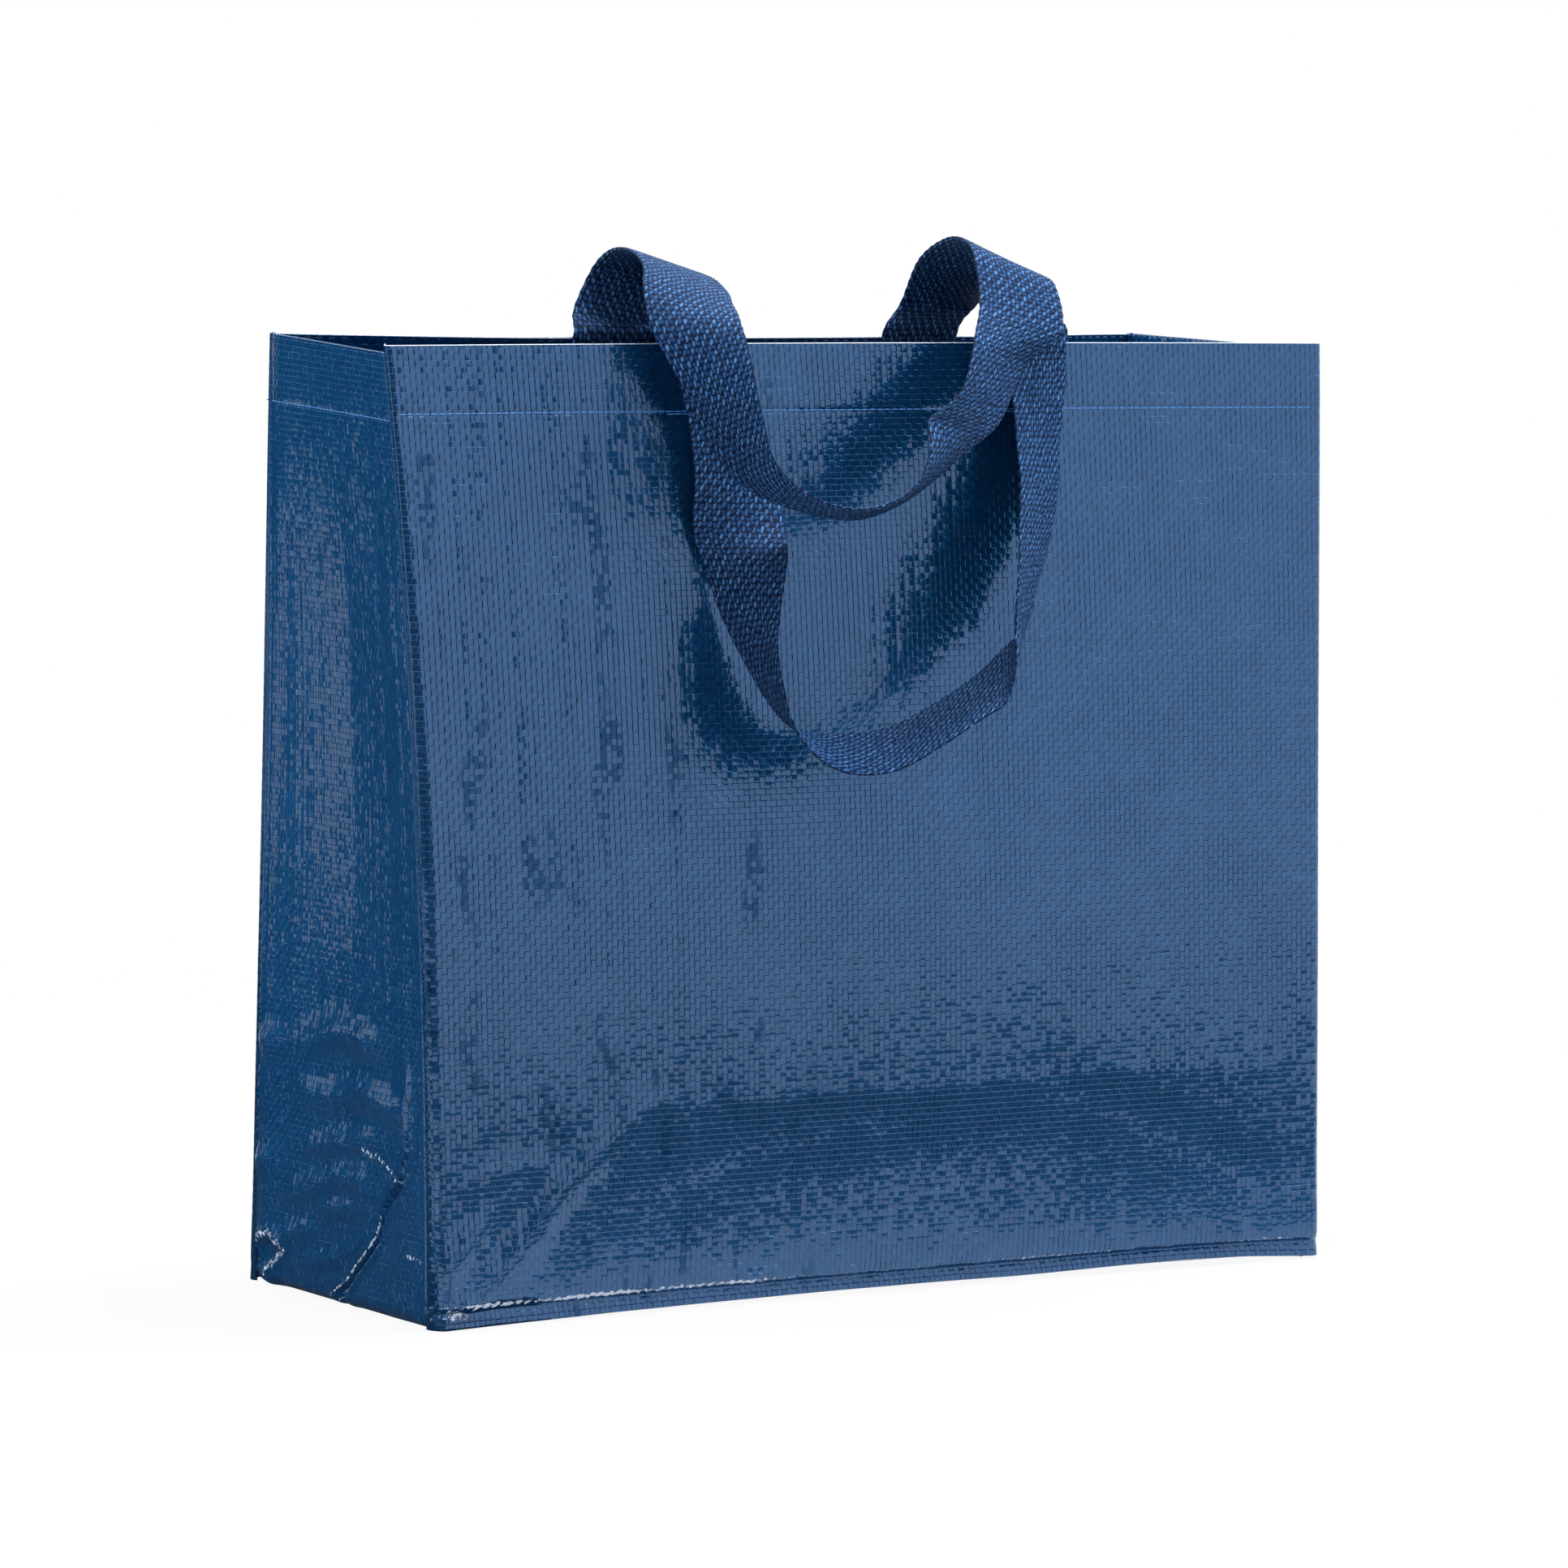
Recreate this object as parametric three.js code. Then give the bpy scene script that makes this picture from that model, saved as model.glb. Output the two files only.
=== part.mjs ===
// Laminated woven shopping bag, standing open with both webbing handles hung over its front.
// Millimetres: +X runs right along the front, +Y to the back, +Z up. The origin is the middle of the base.
import * as THREE from 'three';

// Sizes of the cut and sewn pieces
const BAG_WIDTH = 432; // across a panel at the floor, seam to seam
const BAG_HEIGHT = 399; // floor to the mouth edge of the panels
const BASE_DEPTH = 176; // front to back at the floor
const SHEET_THICKNESS = 0.6; // woven tape with its gloss film
const HEM_DEPTH = 28; // mouth edge folded once to the inside
const EDGE_ROLL = 5; // radius of the panels' rolled upright edges
const BASE_FOLD = 6; // radius where a side turns under into the base
const SEAM_BAND = 5.5; // height of the doubled seam at the foot of each panel
const SEAM_GAP = 0.4; // clearance between pieces that are sewn together
const SIDE_DROP = 3; // how far the sides' mouth edge sits below the front panel's

// How the soft body stands
const FRONT_LEAN_LEFT = 31; // how far the front mouth corner stands behind its floor edge
const FRONT_LEAN_RIGHT = 7;
const BACK_LEAN_LEFT = 27; // how far the back mouth corner stands ahead of its floor edge
const BACK_LEAN_RIGHT = 18;
const BACK_RISE_LEFT = 4; // how far the back mouth's left corner stands up
const BACK_RISE_MIDDLE = 0.5; // height of the back mouth's middle over its right end
const FRONT_DIP_RIGHT = 2.5; // how far the front mouth's right corner sinks
const FRONT_FLARE = 3; // how far each front mouth corner stands outside the base
const FRONT_BULGE = 3; // soft bow of the front panel
const SIDE_SAG = 6; // soft inward bow of the sides
const MOUTH_PULL = 44; // how far the back handle draws the back mouth forward
const FOOT_FOLD = 86; // height of the storage crease across both panels
const FOOT_TUCK = 9; // how far the panels' feet are drawn in below that crease
const FOOT_BOW = 2; // lift of the middle of the panels' lower edges
const SEAM_RUN = 14; // length over which the base climbs to the panels' seam

// Webbing handles
const STRAP_WIDTH = 38;
const STRAP_THICKNESS = 1.8;
const HANDLE_SPACING = 155; // between the middles of a handle's two ends
const STRAP_TAIL = 32; // length of strap inside the mouth, held by the hem's seam
const STRAP_RISE = 4; // straight rise above the mouth before the strap bends
const TAIL_LEAVE = [0, 0, 1.2]; // how far a tail's three sections stand off the hem
const TAIL_TURN = [0, 1.5, 14]; // how much further the back handle's left inner edge stands off
const PULL_MARGIN = 8; // straight stretch of back mouth outside each strap

// Shape exponents: how quickly each lean grows with height
const FRONT_LEAN_POWER = 2.5;
const BACK_LEAN_POWER = 1;
const PULL_POWER = 1.5;

// Mesh density
const PANEL_COLUMNS = 16;
const PANEL_ROWS = 14;
const ROLL_STEPS = 4;
const FOLD_STEPS = 4;
const SIDE_ROWS = 10;
const SIDE_SHARES = [0, 0.03, 0.06, 0.09, 0.2, 0.35, 0.5, 0.65, 0.8, 0.91, 0.94, 0.97, 1];
const ROUTE_STEPS = 3;
const THICKNESS_STEP = 1; // length over which a doubled layer begins

// A handle's route from its left end to its right end. Each row holds the strap's middle and the way
// its width points: share of the half spacing, distance ahead of the front mouth and height above the
// mouth in route units, then the turn and the tilt in degrees of the line from the loop's outer edge
// to its inner one.
const ROUTE_UNIT = 1;
const FRONT_ROUTE = [
  [-1.06, 3, 9, 6, 0], // over the mouth
  [-1.09, 12, 1, 8, 0],
  [-1.02, 12, -18, 8, 0],
  [-0.96, 12, -37, 6, 0],
  [-0.93, 14, -56, -1, 0],
  [-0.94, 18, -76, -22, 0],
  [-0.97, 28, -92, -58, 1],
  [-0.98, 33, -109, -78, 5], // left leg turns
  [-0.96, 38, -126, -96, 9],
  [-0.9, 43, -144, -108, 8],
  [-0.82, 45, -156, -116, 3],
  [-0.71, 46, -163, -120, -7],
  [-0.59, 47, -167, -121, -17],
  [-0.42, 48, -169, -120, -23], // foot of the loop
  [-0.22, 50, -167, -117, -25],
  [0.03, 52, -158, -116, -24],
  [0.27, 54, -147, -117, -25],
  [0.43, 55, -138, -120, -33],
  [0.52, 54, -128, -126, -22], // right bend
  [0.57, 51, -116, -131, -5],
  [0.63, 47, -102, -134, 0],
  [0.7, 42, -91, -138, 1],
  [0.77, 36, -77, -143, 4],
  [0.84, 30, -62, -146, 4],
  [0.88, 24, -46, -149, 2],
  [0.92, 19, -28, -155, 0],
  [0.95, 14, -12, -162, -2],
  [0.92, 13, 1, -171, 0],
  [0.935, 8, 6, -177, 0], // over the mouth
];
const BACK_ROUTE = [
  [-0.955, -85, 9, -20, -11], // rises from the back mouth
  [-0.86, -83, 25, -18, -16],
  [-0.86, -70, 32, -12, -17],
  [-0.95, -38, 32, -16, -19],
  [-1.06, -10, 26, -17, -18],
  [-1.185, 10, 19, -26, -12],
  [-1.25, 26, 7, -46, 4],
  [-1.21, 36, -11, -67, 13],
  [-1.14, 42, -34, -80, 15],
  [-1.03, 47, -53, -96, 14],
  [-0.75, 52, -66, -116, 12],
  [-0.46, 53, -70, -120, 8], // foot of the loop
  [-0.24, 53, -66, -123, 4],
  [-0.09, 52, -60, -129, 0],
  [0.04, 50, -52, -136, 0],
  [0.14, 48, -43, -146, 5],
  [0.2, 45, -36, -160, 13], // right leg turns
  [0.31, 43, -31, -158, 11],
  [0.44, 39, -21, -154, 6],
  [0.56, 33, -7, -157, 11],
  [0.775, 23, 8, -191, 14],
  [0.885, 4, 29, -196, 20],
  [0.995, -21, 34, -192, 26],
  [1.05, -43, 34, -192, 27],
  [1.07, -66, 28, -188, 19],
  [1.1, -88, 13, -178, 3], // falls to the back mouth
];

const HALF_WIDTH = BAG_WIDTH / 2;
const HALF_DEPTH = BASE_DEPTH / 2;
const HALF_SPACING = HANDLE_SPACING / 2;
const DOUBLE_SHEET = 2 * SHEET_THICKNESS;

const { lerp, clamp, smoothstep, degToRad } = THREE.MathUtils;

// Surfaces of the standing bag
const acrossShare = (x) => clamp((x / HALF_WIDTH + 1) / 2, 0, 1);
const archAcross = (x) => Math.sin(Math.PI * acrossShare(x));
const footTuck = (x, z) => FOOT_TUCK * archAcross(x) * Math.max(0, 1 - z / FOOT_FOLD);

function frontFace(x, z) {
  const up = z / BAG_HEIGHT;
  const lean = lerp(FRONT_LEAN_LEFT, FRONT_LEAN_RIGHT, acrossShare(x)) * up ** FRONT_LEAN_POWER;
  const bulge = FRONT_BULGE * archAcross(x) * Math.sin(Math.PI * clamp(up, 0, 1));
  return -HALF_DEPTH + lean - bulge + footTuck(x, z);
}

function backFace(x, z) {
  const up = z / BAG_HEIGHT;
  const lean = lerp(BACK_LEAN_LEFT, BACK_LEAN_RIGHT, acrossShare(x)) * up ** BACK_LEAN_POWER;
  const straight = HALF_SPACING + STRAP_WIDTH / 2 + PULL_MARGIN;
  const pull = MOUTH_PULL * (1 - smoothstep(Math.abs(x), straight, HALF_WIDTH)) * up ** PULL_POWER;
  return HALF_DEPTH - lean - pull - footTuck(x, z);
}

const frontLift = (x) => -FRONT_DIP_RIGHT * acrossShare(x) ** 2;
const backLift = (x) => BACK_RISE_LEFT * (1 - acrossShare(x)) ** 4 + BACK_RISE_MIDDLE * archAcross(x);

const FRONT = { face: frontFace, lift: frontLift, inward: 1, flare: FRONT_FLARE };
const BACK = { face: backFace, lift: backLift, inward: -1, flare: 0 };

const halfWidthAt = (side, z) => HALF_WIDTH + side.flare * (z / BAG_HEIGHT) ** 2;
const aboveFold = (z) => clamp((z - BASE_FOLD) / (BAG_HEIGHT - BASE_FOLD), 0, 1);

// A closed sheet from matching grids of outer and inner points
function closedSheet(outer, inner) {
  const rows = outer.length;
  const columns = outer[0].length;
  const count = rows * columns;
  const points = [...outer.flat(), ...inner.flat()];
  const index = [];
  const quad = (a, b, c, d) => index.push(a, b, c, a, c, d);
  const at = (layer, row, column) => layer * count + row * columns + column;
  for (let row = 0; row + 1 < rows; row++) {
    for (let column = 0; column + 1 < columns; column++) {
      quad(at(0, row, column), at(0, row, column + 1), at(0, row + 1, column + 1), at(0, row + 1, column));
      quad(at(1, row, column), at(1, row + 1, column), at(1, row + 1, column + 1), at(1, row, column + 1));
    }
    const last = columns - 1;
    quad(at(0, row, 0), at(0, row + 1, 0), at(1, row + 1, 0), at(1, row, 0));
    quad(at(0, row, last), at(1, row, last), at(1, row + 1, last), at(0, row + 1, last));
  }
  for (let column = 0; column + 1 < columns; column++) {
    const end = rows - 1;
    quad(at(0, 0, column), at(1, 0, column), at(1, 0, column + 1), at(0, 0, column + 1));
    quad(at(0, end, column), at(0, end, column + 1), at(1, end, column + 1), at(1, end, column));
  }
  const geometry = new THREE.BufferGeometry().setFromPoints(points);
  geometry.setIndex(signedVolume(points, index) < 0 ? index.reverse() : index);
  geometry.computeVertexNormals();
  return geometry;
}

function signedVolume(points, index) {
  let volume = 0;
  for (let i = 0; i < index.length; i += 3) {
    const [a, b, c] = [points[index[i]], points[index[i + 1]], points[index[i + 2]]];
    volume += a.dot(b.clone().cross(c)) / 6;
  }
  return volume;
}

const steps = (from, to, count) => Array.from({ length: count + 1 }, (_, i) => lerp(from, to, i / count));

// Front and back panels
function panelRows() {
  const hem = BAG_HEIGHT - HEM_DEPTH;
  const single = steps(SEAM_BAND + THICKNESS_STEP, hem - THICKNESS_STEP, PANEL_ROWS);
  return [
    ...[0, SEAM_BAND].map((z) => ({ z, thickness: DOUBLE_SHEET })),
    ...single.map((z) => ({ z, thickness: SHEET_THICKNESS })),
    ...[hem, BAG_HEIGHT].map((z) => ({ z, thickness: DOUBLE_SHEET })),
  ];
}

// Columns run from the left seam round its roll, across the flat and round the right roll.
function panelColumns() {
  const roll = steps(Math.PI / 2, 0, ROLL_STEPS);
  const left = roll.map((turn) => ({ across: -1, turn }));
  const flat = steps(-1, 1, PANEL_COLUMNS).slice(1, -1).map((across) => ({ across, turn: 0 }));
  const right = roll.reverse().map((turn) => ({ across: 1, turn }));
  return [...left, ...flat, ...right];
}

function panelPoint(side, { across, turn }, { z, thickness }, layer) {
  const radius = EDGE_ROLL - layer * thickness;
  const x = across * (halfWidthAt(side, z) - EDGE_ROLL);
  const height = z === 0 ? FOOT_BOW * archAcross(x) : z + side.lift(x) * aboveFold(z);
  const back = EDGE_ROLL - radius * Math.cos(turn);
  const rolled = x + Math.sign(across) * radius * Math.sin(turn);
  return new THREE.Vector3(rolled, side.face(x, height) + side.inward * back, height);
}

function panel(side) {
  const columns = panelColumns();
  const layers = [0, 1].map((layer) =>
    panelRows().map((row) => columns.map((column) => panelPoint(side, column, row, layer))));
  return closedSheet(...layers);
}

// Side-and-base strip: down the left side, under the base and up the right side
function stripStations() {
  const hem = BAG_HEIGHT - HEM_DEPTH;
  const upright = [
    ...[BAG_HEIGHT, hem].map((z) => ({ z, thickness: DOUBLE_SHEET })),
    ...steps(hem - THICKNESS_STEP, BASE_FOLD, SIDE_ROWS).map((z) => ({ z, thickness: SHEET_THICKNESS })),
  ];
  const fold = steps(0, Math.PI / 2, FOLD_STEPS).slice(1);
  const left = [
    ...upright.map((row) => ({ ...row, hand: -1, turn: 0 })),
    ...fold.map((turn) => ({ z: BASE_FOLD, thickness: SHEET_THICKNESS, hand: -1, turn })),
  ];
  const right = left.map((station) => ({ ...station, hand: 1 })).reverse();
  const base = steps(-1, 1, PANEL_COLUMNS).slice(1, -1).map((across) => ({ across }));
  return [...left, ...base, ...right];
}

// Where the strip's front or back edge meets a panel's upright roll
function uprightEdge(side, hand, z, drop) {
  const x = hand * (halfWidthAt(side, z) - EDGE_ROLL);
  const height = z + (side.lift(x) - drop) * aboveFold(z);
  const y = side.face(x, height) + side.inward * (EDGE_ROLL + SEAM_GAP);
  return new THREE.Vector3(hand * halfWidthAt(side, height), y, height);
}

const uprightEdges = (hand, z) => [uprightEdge(FRONT, hand, z, SIDE_DROP), uprightEdge(BACK, hand, z, 0)];

function sidePoint({ z, thickness, hand, turn }, share, layer) {
  const [front, back] = uprightEdges(hand, z);
  const point = front.lerp(back, share);
  const sag = SIDE_SAG * Math.sin(Math.PI * share) * Math.sin(Math.PI * aboveFold(z));
  const radius = BASE_FOLD - layer * thickness;
  point.x -= hand * (sag + BASE_FOLD - radius * Math.cos(turn));
  point.z -= radius * Math.sin(turn);
  return point;
}

// The base lies on the floor and climbs to the panels' seams along its front and back edges.
function basePoint({ across }, share, layer) {
  const x = across * (HALF_WIDTH - BASE_FOLD);
  const inside = smoothstep(HALF_WIDTH - BASE_FOLD - Math.abs(x), 0, SEAM_RUN);
  const corner = uprightEdges(Math.sign(x), BASE_FOLD).map((edge) => edge.y);
  const seam = [FRONT, BACK].map((side) => side.face(x, SEAM_BAND) + side.inward * (DOUBLE_SHEET + SEAM_GAP));
  const [front, back] = corner.map((y, i) => lerp(y, seam[i], inside));
  const y = lerp(front, back, share);
  const fromSeam = Math.min(y - front, back - y);
  const climb = SEAM_BAND * inside * (1 - smoothstep(fromSeam, 0, SEAM_RUN));
  return new THREE.Vector3(x, y, climb + layer * SHEET_THICKNESS);
}

function strip() {
  const point = (station, share, layer) =>
    'across' in station ? basePoint(station, share, layer) : sidePoint(station, share, layer);
  const layers = [0, 1].map((layer) =>
    stripStations().map((station) => SIDE_SHARES.map((share) => point(station, share, layer))));
  return closedSheet(...layers);
}

// Handles: each section is the strap's outer and inner edge points
function tailSections(side, hand) {
  const heights = [BAG_HEIGHT - STRAP_TAIL, BAG_HEIGHT - STRAP_TAIL / 2, BAG_HEIGHT + STRAP_RISE];
  const behindHem = side.inward * (DOUBLE_SHEET + SEAM_GAP + STRAP_THICKNESS / 2);
  return heights.map((z, i) =>
    [1, -1].map((outward) => {
      const x = hand * (HALF_SPACING + (outward * STRAP_WIDTH) / 2);
      const turned = side === BACK && hand < 0 && outward < 0;
      const leave = side.inward * (TAIL_LEAVE[i] + (turned ? TAIL_TURN[i] : 0));
      return new THREE.Vector3(x, side.face(x, z) + behindHem + leave, z);
    }));
}

function routeSection([share, ahead, up, turn, tilt]) {
  const middle = new THREE.Vector3(
    share * HALF_SPACING,
    frontFace(0, BAG_HEIGHT) - ahead * ROUTE_UNIT,
    BAG_HEIGHT + up * ROUTE_UNIT);
  const [yaw, pitch] = [degToRad(turn), degToRad(tilt)];
  const inward = new THREE.Vector3(
    Math.cos(pitch) * Math.cos(yaw), Math.cos(pitch) * Math.sin(yaw), Math.sin(pitch));
  return [-1, 1].map((way) => middle.clone().addScaledVector(inward, (way * STRAP_WIDTH) / 2));
}

function handle(side, route) {
  const sections = [
    ...tailSections(side, -1), ...route.map(routeSection), ...tailSections(side, 1).reverse()];
  const edges = [0, 1].map((edge) => new THREE.CatmullRomCurve3(sections.map((section) => section[edge])));
  const last = (sections.length - 1) * ROUTE_STEPS;
  const rungs = steps(0, 1, last).map((t) => edges.map((edge) => edge.getPoint(t)));
  const middles = rungs.map(([outer, inner]) => outer.clone().add(inner).divideScalar(2));
  const layers = [1, -1].map((face) => rungs.map(([outer, inner], i) => {
    const along = middles[Math.min(i + 1, last)].clone().sub(middles[Math.max(i - 1, 0)]);
    const width = inner.clone().sub(outer).normalize();
    const normal = along.cross(width).normalize();
    return [-1, 1].map((way) => middles[i].clone()
      .addScaledVector(width, (way * STRAP_WIDTH) / 2)
      .addScaledVector(normal, (face * STRAP_THICKNESS) / 2));
  }));
  return closedSheet(...layers);
}

const laminate = () => new THREE.MeshStandardMaterial({ color: 0x1f4a7d, roughness: 0.28, metalness: 0 });
const webbing = () => new THREE.MeshStandardMaterial({ color: 0x24427a, roughness: 0.9, metalness: 0 });

function piece(name, geometry, material) {
  const mesh = new THREE.Mesh(geometry, material);
  mesh.name = name;
  return mesh;
}

const bag = new THREE.Group();
bag.add(
  piece('front_panel', panel(FRONT), laminate()),
  piece('back_panel', panel(BACK), laminate()),
  piece('side_and_base_strip', strip(), laminate()),
  piece('front_handle', handle(FRONT, FRONT_ROUTE), webbing()),
  piece('back_handle', handle(BACK, BACK_ROUTE), webbing()),
);

export default bag;
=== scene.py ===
"""Looks of the laminated shopping bag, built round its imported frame, in metres. Its front faces -Y."""
import math
from collections import namedtuple

import bpy
import numpy as np
from mathutils import Matrix


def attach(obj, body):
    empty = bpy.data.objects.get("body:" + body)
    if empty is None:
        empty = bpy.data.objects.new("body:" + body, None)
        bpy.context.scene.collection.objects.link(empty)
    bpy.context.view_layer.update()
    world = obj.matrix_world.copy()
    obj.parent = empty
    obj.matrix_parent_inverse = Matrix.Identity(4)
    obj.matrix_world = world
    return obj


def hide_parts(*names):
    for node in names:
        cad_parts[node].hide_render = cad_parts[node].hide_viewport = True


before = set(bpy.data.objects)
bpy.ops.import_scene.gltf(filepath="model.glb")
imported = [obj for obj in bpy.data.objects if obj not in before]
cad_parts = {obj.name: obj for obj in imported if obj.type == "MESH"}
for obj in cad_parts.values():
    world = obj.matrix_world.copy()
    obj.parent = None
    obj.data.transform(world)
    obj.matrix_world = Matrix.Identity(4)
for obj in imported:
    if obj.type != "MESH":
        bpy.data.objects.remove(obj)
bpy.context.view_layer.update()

MM = 0.001

# Sizes of the cut and sewn pieces, as in the part's source
BAG_WIDTH = 432 * MM
BAG_HEIGHT = 399 * MM
BASE_DEPTH = 176 * MM
HEM_DEPTH = 28 * MM
EDGE_ROLL = 5 * MM
BASE_FOLD = 6 * MM
SEAM_BAND = 5.5 * MM
SEAM_GAP = 0.4 * MM
SIDE_DROP = 3 * MM
SOLID_SHEET = 0.6 * MM
HEM_LINE = BAG_HEIGHT - HEM_DEPTH

# How the soft body stands, as in the part's source
FRONT_LEAN_LEFT, FRONT_LEAN_RIGHT, FRONT_LEAN_POWER = 31 * MM, 7 * MM, 2.5
BACK_LEAN_LEFT, BACK_LEAN_RIGHT = 27 * MM, 18 * MM
BACK_RISE_LEFT, BACK_RISE_MIDDLE, FRONT_DIP_RIGHT = 4 * MM, 0.5 * MM, 2.5 * MM
FRONT_FLARE, FRONT_BULGE, SIDE_SAG = 3 * MM, 3 * MM, 6 * MM
MOUTH_PULL, PULL_POWER, PULL_MARGIN = 44 * MM, 1.5, 8 * MM
FOOT_FOLD, FOOT_TUCK, FOOT_BOW = 86 * MM, 9 * MM, 2 * MM
SEAM_RUN = 14 * MM

# Webbing handles, as in the part's source
STRAP_WIDTH = 38 * MM
STRAP_THICKNESS = 1.8 * MM
HANDLE_SPACING = 155 * MM
STRAP_TAIL = 32 * MM
STRAP_RISE = 4 * MM
TAIL_LEAVE = (0, 0, 1.2 * MM)
TAIL_TURN = (0, 1.5 * MM, 14 * MM)

# Cloth and thread
SHEET = 0.5 * MM  # laminate
HEM_SHEET = 0.9 * MM  # laminate folded double
MOUTH_ROLL = 2.4 * MM  # radius of the panels' rolled edges at the mouth
ROLL_NARROWS = 0.45 * BAG_HEIGHT  # height from which those edges narrow
SEAM_LINE = SEAM_BAND + 1 * MM  # height of the groove over the foot's seam
BASE_INSET = 3 * MM  # from a panel's foot to the strip's edge under the bag
TAPE = 2.5 * MM  # width of one woven tape
KNUCKLE_WIDTH, KNUCKLE_LENGTH = 38 / 19 * MM, 2.6 * MM  # one raised yarn of the webbing
KNUCKLE_STEPS = 2  # mesh steps in each knuckle, both ways
KNUCKLE_RISE = 0.16 * MM
EDGE_LOOP = 0.15 * MM  # rise of the yarn's loops along the webbing's edges
ROUTE_STEPS = 24  # between two rows of a handle's route
SEAM_LAP = 0.1 * MM  # the sewn edges of two pieces nearly touch
HEM_STITCH, HEM_STITCH_GAP = 3.4 * MM, 0.12 * MM
FOOT_STITCH, FOOT_STITCH_GAP = 4.0 * MM, 0.9 * MM
FOOT_STITCH_HEIGHT = 2.8 * MM
THREAD_RADIUS = 0.3 * MM
THREAD_PROUD = 0.3 * THREAD_RADIUS  # how far a stitch's middle stands off the cloth
TACK_DROP = 1.1 * MM  # a second row of stitches holds each strap's tail
TACK_SHORT = 6 * MM  # from that row's end to the right strap's outer edge
HEM_END = 1 * MM  # from a seam's end to a panel's upright edge

# A handle's route, as in the part's source: share of the half spacing, millimetres ahead of the front
# mouth and above it, then turn and tilt in degrees of the line from the loop's outer to inner edge
FRONT_ROUTE = [
    (-1.06, 3, 9, 6, 0), (-1.09, 12, 1, 8, 0), (-1.02, 12, -18, 8, 0), (-0.96, 12, -37, 6, 0),
    (-0.93, 14, -56, -1, 0), (-0.94, 18, -76, -22, 0), (-0.97, 28, -92, -58, 1),
    (-0.98, 33, -109, -78, 5), (-0.96, 38, -126, -96, 9), (-0.9, 43, -144, -108, 8),
    (-0.82, 45, -156, -116, 3), (-0.71, 46, -163, -120, -7), (-0.59, 47, -167, -121, -17),
    (-0.42, 48, -169, -120, -23), (-0.22, 50, -167, -117, -25), (0.03, 52, -158, -116, -24),
    (0.27, 54, -147, -117, -25), (0.43, 55, -138, -120, -33), (0.52, 54, -128, -126, -22),
    (0.57, 51, -116, -131, -5), (0.63, 47, -102, -134, 0), (0.7, 42, -91, -138, 1),
    (0.77, 36, -77, -143, 4), (0.84, 30, -62, -146, 4), (0.88, 24, -46, -149, 2),
    (0.92, 19, -28, -155, 0), (0.95, 14, -12, -162, -2), (0.92, 13, 1, -171, 0), (0.935, 8, 6, -177, 0),
]
BACK_ROUTE = [
    (-0.955, -85, 9, -20, -11), (-0.86, -83, 25, -18, -16), (-0.86, -70, 32, -12, -17),
    (-0.95, -38, 32, -16, -19), (-1.06, -10, 26, -17, -18), (-1.185, 10, 19, -26, -12),
    (-1.25, 26, 7, -46, 4), (-1.21, 36, -11, -67, 13), (-1.14, 42, -34, -80, 15),
    (-1.03, 47, -53, -96, 14), (-0.75, 52, -66, -116, 12), (-0.46, 53, -70, -120, 8),
    (-0.24, 53, -66, -123, 4), (-0.09, 52, -60, -129, 0), (0.04, 50, -52, -136, 0),
    (0.14, 48, -43, -146, 5), (0.2, 45, -36, -160, 13), (0.31, 43, -31, -158, 11),
    (0.44, 39, -21, -154, 6), (0.56, 33, -7, -157, 11), (0.775, 23, 8, -191, 14),
    (0.885, 4, 29, -196, 20), (0.995, -21, 34, -192, 26), (1.05, -43, 34, -192, 27),
    (1.07, -66, 28, -188, 19), (1.1, -88, 13, -178, 3),
]

# The photograph's camera
PHOTO_PIXELS = 1932
FOCAL_PIXELS = 9000
SENSOR = 36.0
CAMERA_PLACE = np.array([-1544.4, -2710.6, 444.4]) * MM
CAMERA_YAW, CAMERA_PITCH, CAMERA_ROLL = (math.radians(a) for a in (29.64, 4.32, 0.08))

SEAM_TURN = math.radians(125)  # how far a panel's edge rolls before it is hidden in the seam
HALF_WIDTH = BAG_WIDTH / 2
HALF_DEPTH = BASE_DEPTH / 2
HALF_SPACING = HANDLE_SPACING / 2


def lerp(a, b, t):
    return a + (b - a) * t


def smooth(value, low, high):
    """0 at low and 1 at high, which may be the lower one, with a smooth passage."""
    t = np.clip((value - low) / (high - low), 0, 1)
    return t * t * (3 - 2 * t)


def hump(value, centre, width):
    return np.exp(-(((value - centre) / width) ** 2))


def unit(vectors):
    return vectors / np.linalg.norm(vectors, axis=-1, keepdims=True)


def run_along(points):
    """Distance of each point from the first, along the line through them."""
    return np.concatenate([[0], np.cumsum(np.linalg.norm(np.diff(points, axis=0), axis=1))])


def soft_noise(u, v, size_u, size_v, seed):
    """Smooth noise from -1 to 1, with bumps of the given sizes in millimetres."""
    u, v = u / (size_u * MM), v / (size_v * MM)
    side = 64
    lattice = np.random.default_rng(seed).uniform(-1, 1, (side, side))
    iu, iv = np.floor(u).astype(int), np.floor(v).astype(int)
    fu, fv = u - iu, v - iv
    fu, fv = fu * fu * (3 - 2 * fu), fv * fv * (3 - 2 * fv)
    at = lambda du, dv: lattice[(iu + du) % side, (iv + dv) % side]
    return lerp(lerp(at(0, 0), at(1, 0), fu), lerp(at(0, 1), at(1, 1), fu), fv)


def distance_to_path(u, v, path):
    """Millimetres from each point to a path in millimetres, and where along it that is, from 0 to 1."""
    u, v = u / MM, v / MM
    best = np.full(np.shape(u), np.inf)
    along = np.zeros(np.shape(u))
    for i, ((au, av), (bu, bv)) in enumerate(zip(path, path[1:])):
        du, dv = bu - au, bv - av
        t = np.clip(((u - au) * du + (v - av) * dv) / (du * du + dv * dv), 0, 1)
        gap = np.hypot(u - au - t * du, v - av - t * dv)
        along = np.where(gap < best, (i + t) / (len(path) - 1), along)
        best = np.minimum(gap, best)
    return best, along


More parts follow.
